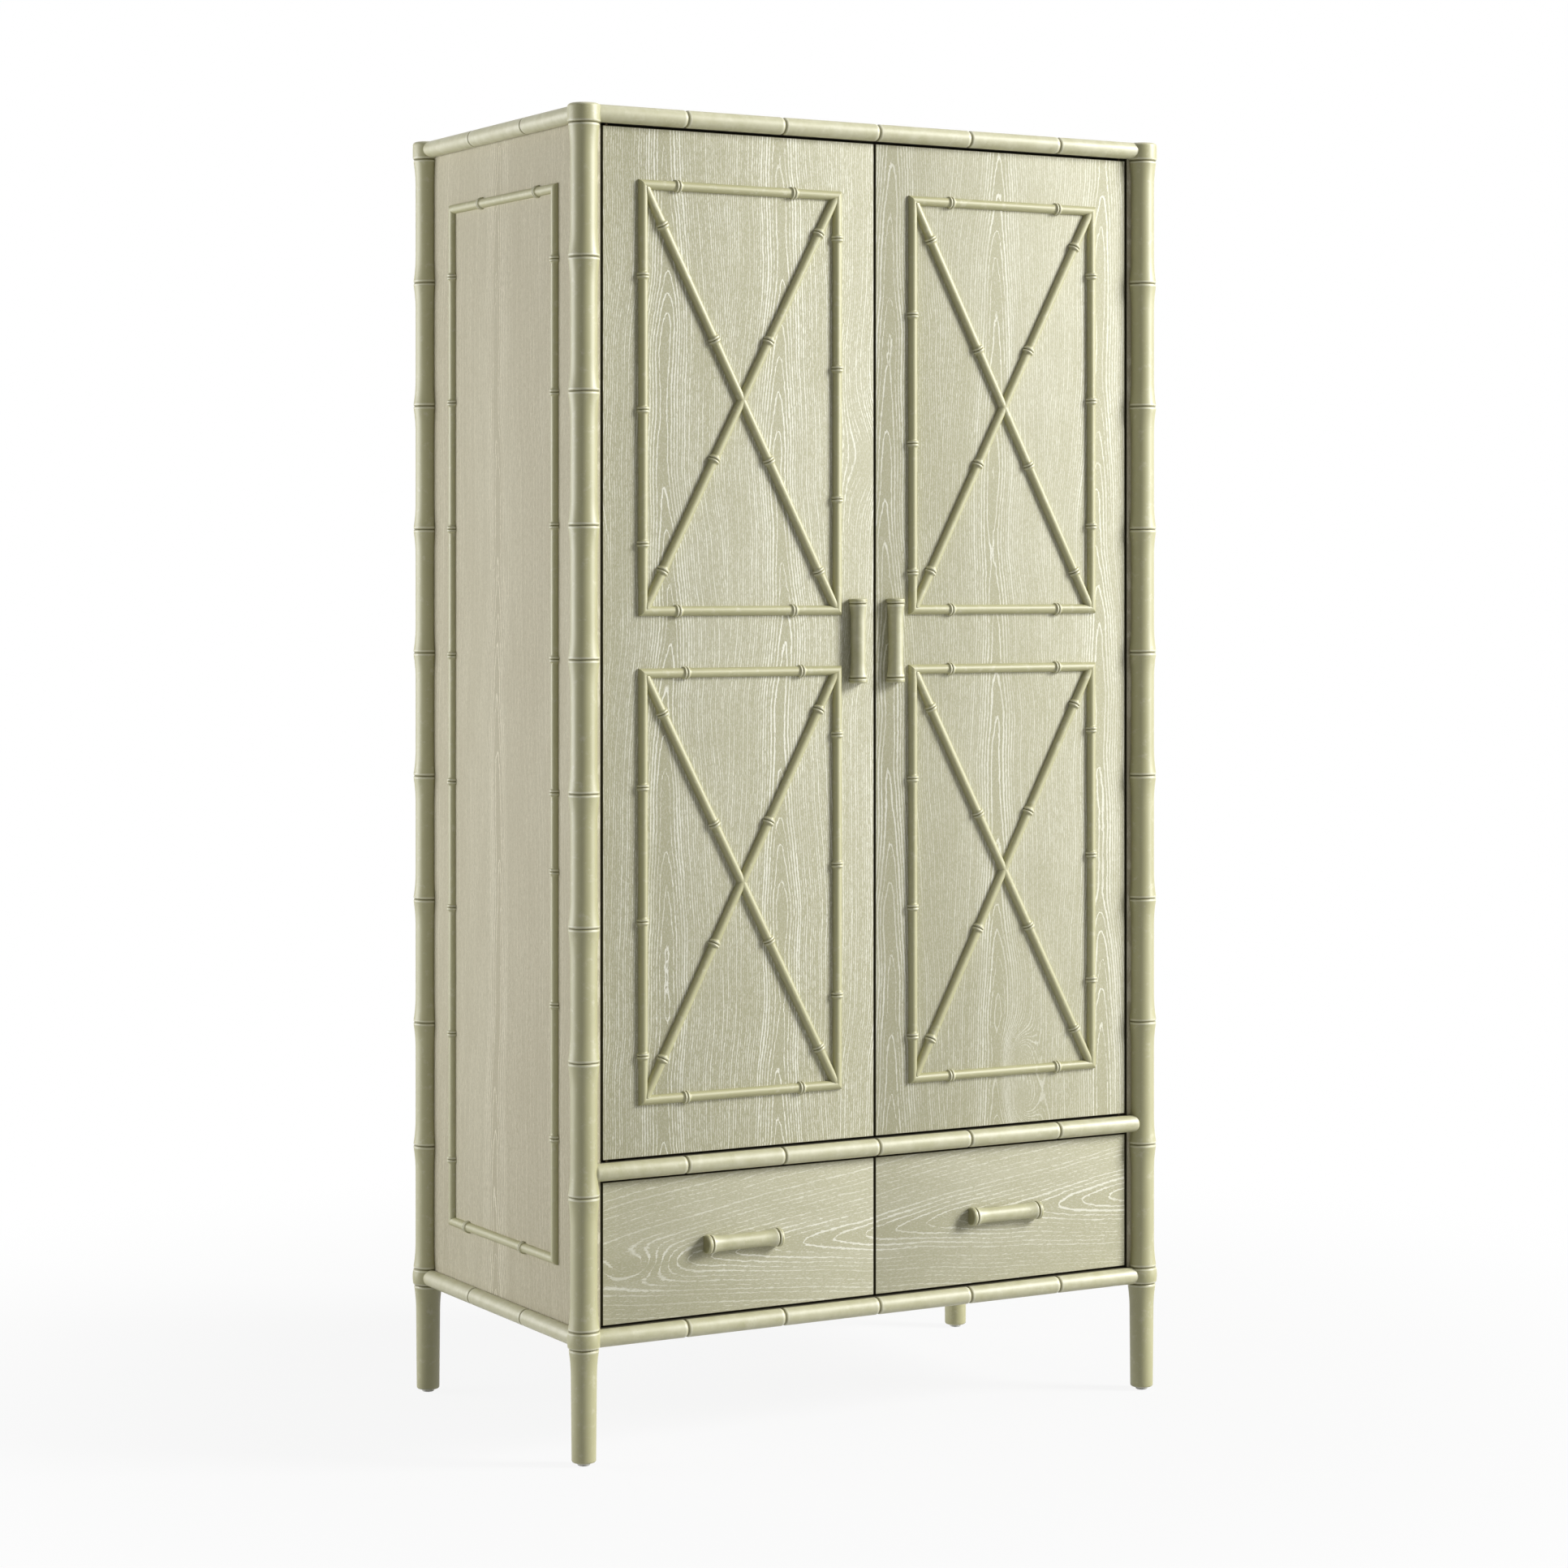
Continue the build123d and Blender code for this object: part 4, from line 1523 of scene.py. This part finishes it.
@dataclass
class Fittings:
    """The round fittings that are remade smooth: hanging rod, its sockets and the glides."""

    palette: Palette
    segments: int = 64
    glide_round: float = 1.6
    rod_round: float = 1.5
    rod_steps: int = 5
    neck_at: float = 18.0
    neck_half: float = 2.5
    neck_depth: float = 0.8
    neck_steps: int = 9
    socket_radius: float = 24.0
    socket_depth: float = 12.0
    socket_round: float = 3.0
    bore_clear: float = 0.1
    bore_ease: float = 0.8

    def build(self) -> None:
        """Make the rod, the sockets and the glides."""
        self._rod()
        self._sockets()
        self._glides()

    def _rod(self) -> None:
        """Turn the rod between the side panels, with a rolled neck beside each socket."""
        low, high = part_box("hanging_rod")
        radius = (high.z - low.z) / 2 / MM
        length = (high.x - low.x) / MM
        end: Rings = [
            (away, radius - inset, 0.0) for _, away, inset in rounding(self.rod_round, self.rod_steps)
        ]
        for turn in spread(math.pi, self.neck_steps):
            away = self.neck_at - self.neck_half * math.cos(turn)
            end.append((away, radius - self.neck_depth * math.sin(turn) ** 2, 0.0))
        rings = end + [(length - away, size, relief) for away, size, relief in reversed(end)]
        start = Vector((low.x, (low.y + high.y) / 2, (low.z + high.z) / 2))
        work = bmesh.new()
        lathe(work, rings, start, RIGHTWARD, UP, self.segments)
        steel = self.palette.rod_steel
        link_piece("hanging_rod_bar", work, steel, "case", "hanging_rod")

    def _sockets(self) -> None:
        """Turn the two cups that hold the rod, each a closed ring round its bore."""
        low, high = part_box("rod_sockets")
        rod_low, rod_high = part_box("hanging_rod")
        bore = (rod_high.z - rod_low.z) / 2 / MM + self.bore_clear
        depth, radius = self.socket_depth, self.socket_radius
        rings: Rings = [(0.0, bore, 0.0), (0.0, radius, 0.0)]
        for _, inset, short in rounding(self.socket_round):
            rings.append((depth - short, radius - inset, 0.0))
        rings += [(depth, bore + self.bore_ease, 0.0), (depth - self.bore_ease, bore, 0.0)]
        work = bmesh.new()
        for side, wall in ((Side.LEFT, low.x), (Side.RIGHT, high.x)):
            start = Vector((wall, (low.y + high.y) / 2, (low.z + high.z) / 2))
            inward = RIGHTWARD * -side.value
            lathe(work, rings, start, inward, BACKWARD, self.segments, bored=True)
        steel = self.palette.rod_steel
        link_piece("rod_socket_cups", work, steel, "case", "rod_sockets")

    def _glides(self) -> None:
        """Turn the four glides under the posts."""
        low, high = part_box("foot_glides")
        height = (high.z - low.z) / MM
        work = bmesh.new()
        for side, edge in ((Side.LEFT, low.x), (Side.RIGHT, high.x)):
            for end in ("front", "back"):
                axis = upright_axis(f"{end}_{side.label}_post")
                radius = abs(edge - axis.x) / MM
                rings: Rings = [
                    (rise, radius - inset, 0.0) for _, rise, inset in rounding(self.glide_round)
                ]
                rings.append((height, radius, 0.0))
                lathe(work, rings, axis, UP, RIGHTWARD, self.segments)
        glide = self.palette.glide
        link_piece("foot_glide_pads", work, glide, "case", "foot_glides")


def dress_frame_nodes(palette: Palette) -> None:
    """Give every frame node that still shows its finish, by a word in its name.

    Args:
        palette: The finishes.
    """
    by_word = {
        "side_panel": palette.side_panel, "hinge": palette.brass, "slide_": palette.steel,
        "strike": palette.steel, "magnetic_catch": palette.catch,
        "back_panel": palette.upright_board, "drawer_partition": palette.upright_board,
        "drawer_sides": palette.deep_board, "shelf_cleats": palette.deep_board,
        "drawer_bottom": palette.deep_board,
    }
    for name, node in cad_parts.items():
        if node.hide_render:
            continue
        found = [material for word, material in by_word.items() if word in name]
        node.data.materials.clear()
        node.data.materials.append(found[0] if found else palette.board)


# Studio


@dataclass(frozen=True)
class Softbox:
    """A rectangular lamp: where it hangs, what it points at, its size in metres and its watts."""

    name: str
    place: Point
    aim: Point
    size: Span
    power: float

    def hang(self) -> None:
        """Put the lamp in the scene."""
        box = bpy.data.lights.new(self.name, "AREA")
        box.shape = "RECTANGLE"
        box.size, box.size_y = self.size
        box.energy = self.power
        lamp = bpy.data.objects.new(self.name, box)
        lamp.location = self.place
        aim = Vector(self.aim) - Vector(self.place)
        lamp.rotation_euler = aim.to_track_quat("-Z", "Y").to_euler()
        bpy.context.scene.collection.objects.link(lamp)


@dataclass
class Studio:
    """Pale floor, soft lights, white surround and the camera."""

    camera_place: Point = (-2.7809, -4.8458, 1.2636)
    camera_yaw: float = -29.83
    lens: float = 82.84
    sensor: float = 36.0
    shift_down: float = -0.1342
    floor_size: float = 60.0
    floor_grey: float = 0.55
    shadow: Span = (0.7, 2.2)
    shadow_share: float = 0.10
    ambient: float = 0.06
    lamps: tuple[Softbox, ...] = (
        Softbox("key", (7.40, -5.20, 5.4), (0.0, -0.2, 1.0), (2.8, 3.4), 1290.0),
        Softbox("strip", (5.2, -3.75, 1.6), (0.0, -0.2, 1.3), (1.0, 3.2), 140.0),
        Softbox("left_back", (-3.6, 2.3, 1.4), (-0.4, 0.0, 1.0), (3.0, 2.6), 140.0),
        Softbox("top", (0.2, -0.4, 4.8), (0.0, 0.0, 1.0), (2.0, 2.0), 24.0),
    )

    def build(self) -> None:
        """Make the floor, world, lights and camera."""
        scene = bpy.context.scene
        scene.view_settings.view_transform = "Standard"
        self._floor()
        self._world(scene)
        for lamp in self.lamps:
            lamp.hang()
        lens = bpy.data.cameras.new("camera")
        lens.lens = self.lens
        lens.sensor_width = self.sensor
        lens.shift_y = self.shift_down
        camera = bpy.data.objects.new("camera", lens)
        camera.location = self.camera_place
        camera.rotation_euler = (math.radians(90), 0, math.radians(self.camera_yaw))
        scene.collection.objects.link(camera)
        scene.camera = camera

    def _floor(self) -> None:
        """Lay a pale floor that keeps a soft shadow."""
        mesh = bpy.data.meshes.new("floor")
        half = self.floor_size / 2
        corners = [(-half, -half, 0), (half, -half, 0), (half, half, 0), (-half, half, 0)]
        mesh.from_pydata(corners, [], [(0, 1, 2, 3)])
        graph = Graph(bpy.data.materials.new("pale_floor"))
        grey = _rgba((self.floor_grey,) * 3)
        plain = graph.node("ShaderNodeBsdfDiffuse", inputs={"Color": grey})
        white = graph.node("ShaderNodeEmission", inputs={"Color": (1, 1, 1, 1), "Strength": 1.0})
        x, y, _ = graph.parts(graph.place())
        far = graph.step(graph.math("SQRT", x * x + y * y), *self.shadow)
        seen = self._seen(graph) * (far * self.shadow_share + (1 - self.shadow_share))
        shaders = {"Fac": seen, "Shader": plain, "Shader_001": white}
        mesh.materials.append(graph.end(graph.node("ShaderNodeMixShader", inputs=shaders)))
        floor = bpy.data.objects.new("floor", mesh)
        bpy.context.scene.collection.objects.link(floor)

    @staticmethod
    def _seen(graph: Graph) -> Wire:
        """1 for rays from the camera, or from a mirror or glass, and 0 for the rest."""
        path = graph.node("ShaderNodeLightPath").socket.node.outputs
        kinds = ("Is Camera Ray", "Is Glossy Ray", "Is Transmission Ray")
        camera, mirror, glass = (Wire(graph, path[kind]) for kind in kinds)
        return graph.math("MAXIMUM", graph.math("MAXIMUM", camera, mirror), glass)

    def _world(self, scene: bpy.types.Scene) -> None:
        """Light the scene evenly and show white behind it."""
        scene.world = bpy.data.worlds.new("surround")
        graph = Graph(scene.world)
        strength = self._seen(graph) * (1.0 - self.ambient) + self.ambient
        sky = {"Color": (1, 1, 1, 1), "Strength": strength}
        graph.end(graph.node("ShaderNodeBackground", inputs=sky))


def main() -> None:
    """Build the armoire's looks in order."""
    logging.basicConfig(level=logging.INFO, format="%(message)s")
    palette = Palette()
    CornerPosts(palette.paint).build()
    CaseRails(palette.paint).build()
    StickWork(palette.paint).build()
    Fronts(palette).build()
    Fittings(palette).build()
    dress_frame_nodes(palette)
    Studio().build()


if __name__ == "__main__":
    main()
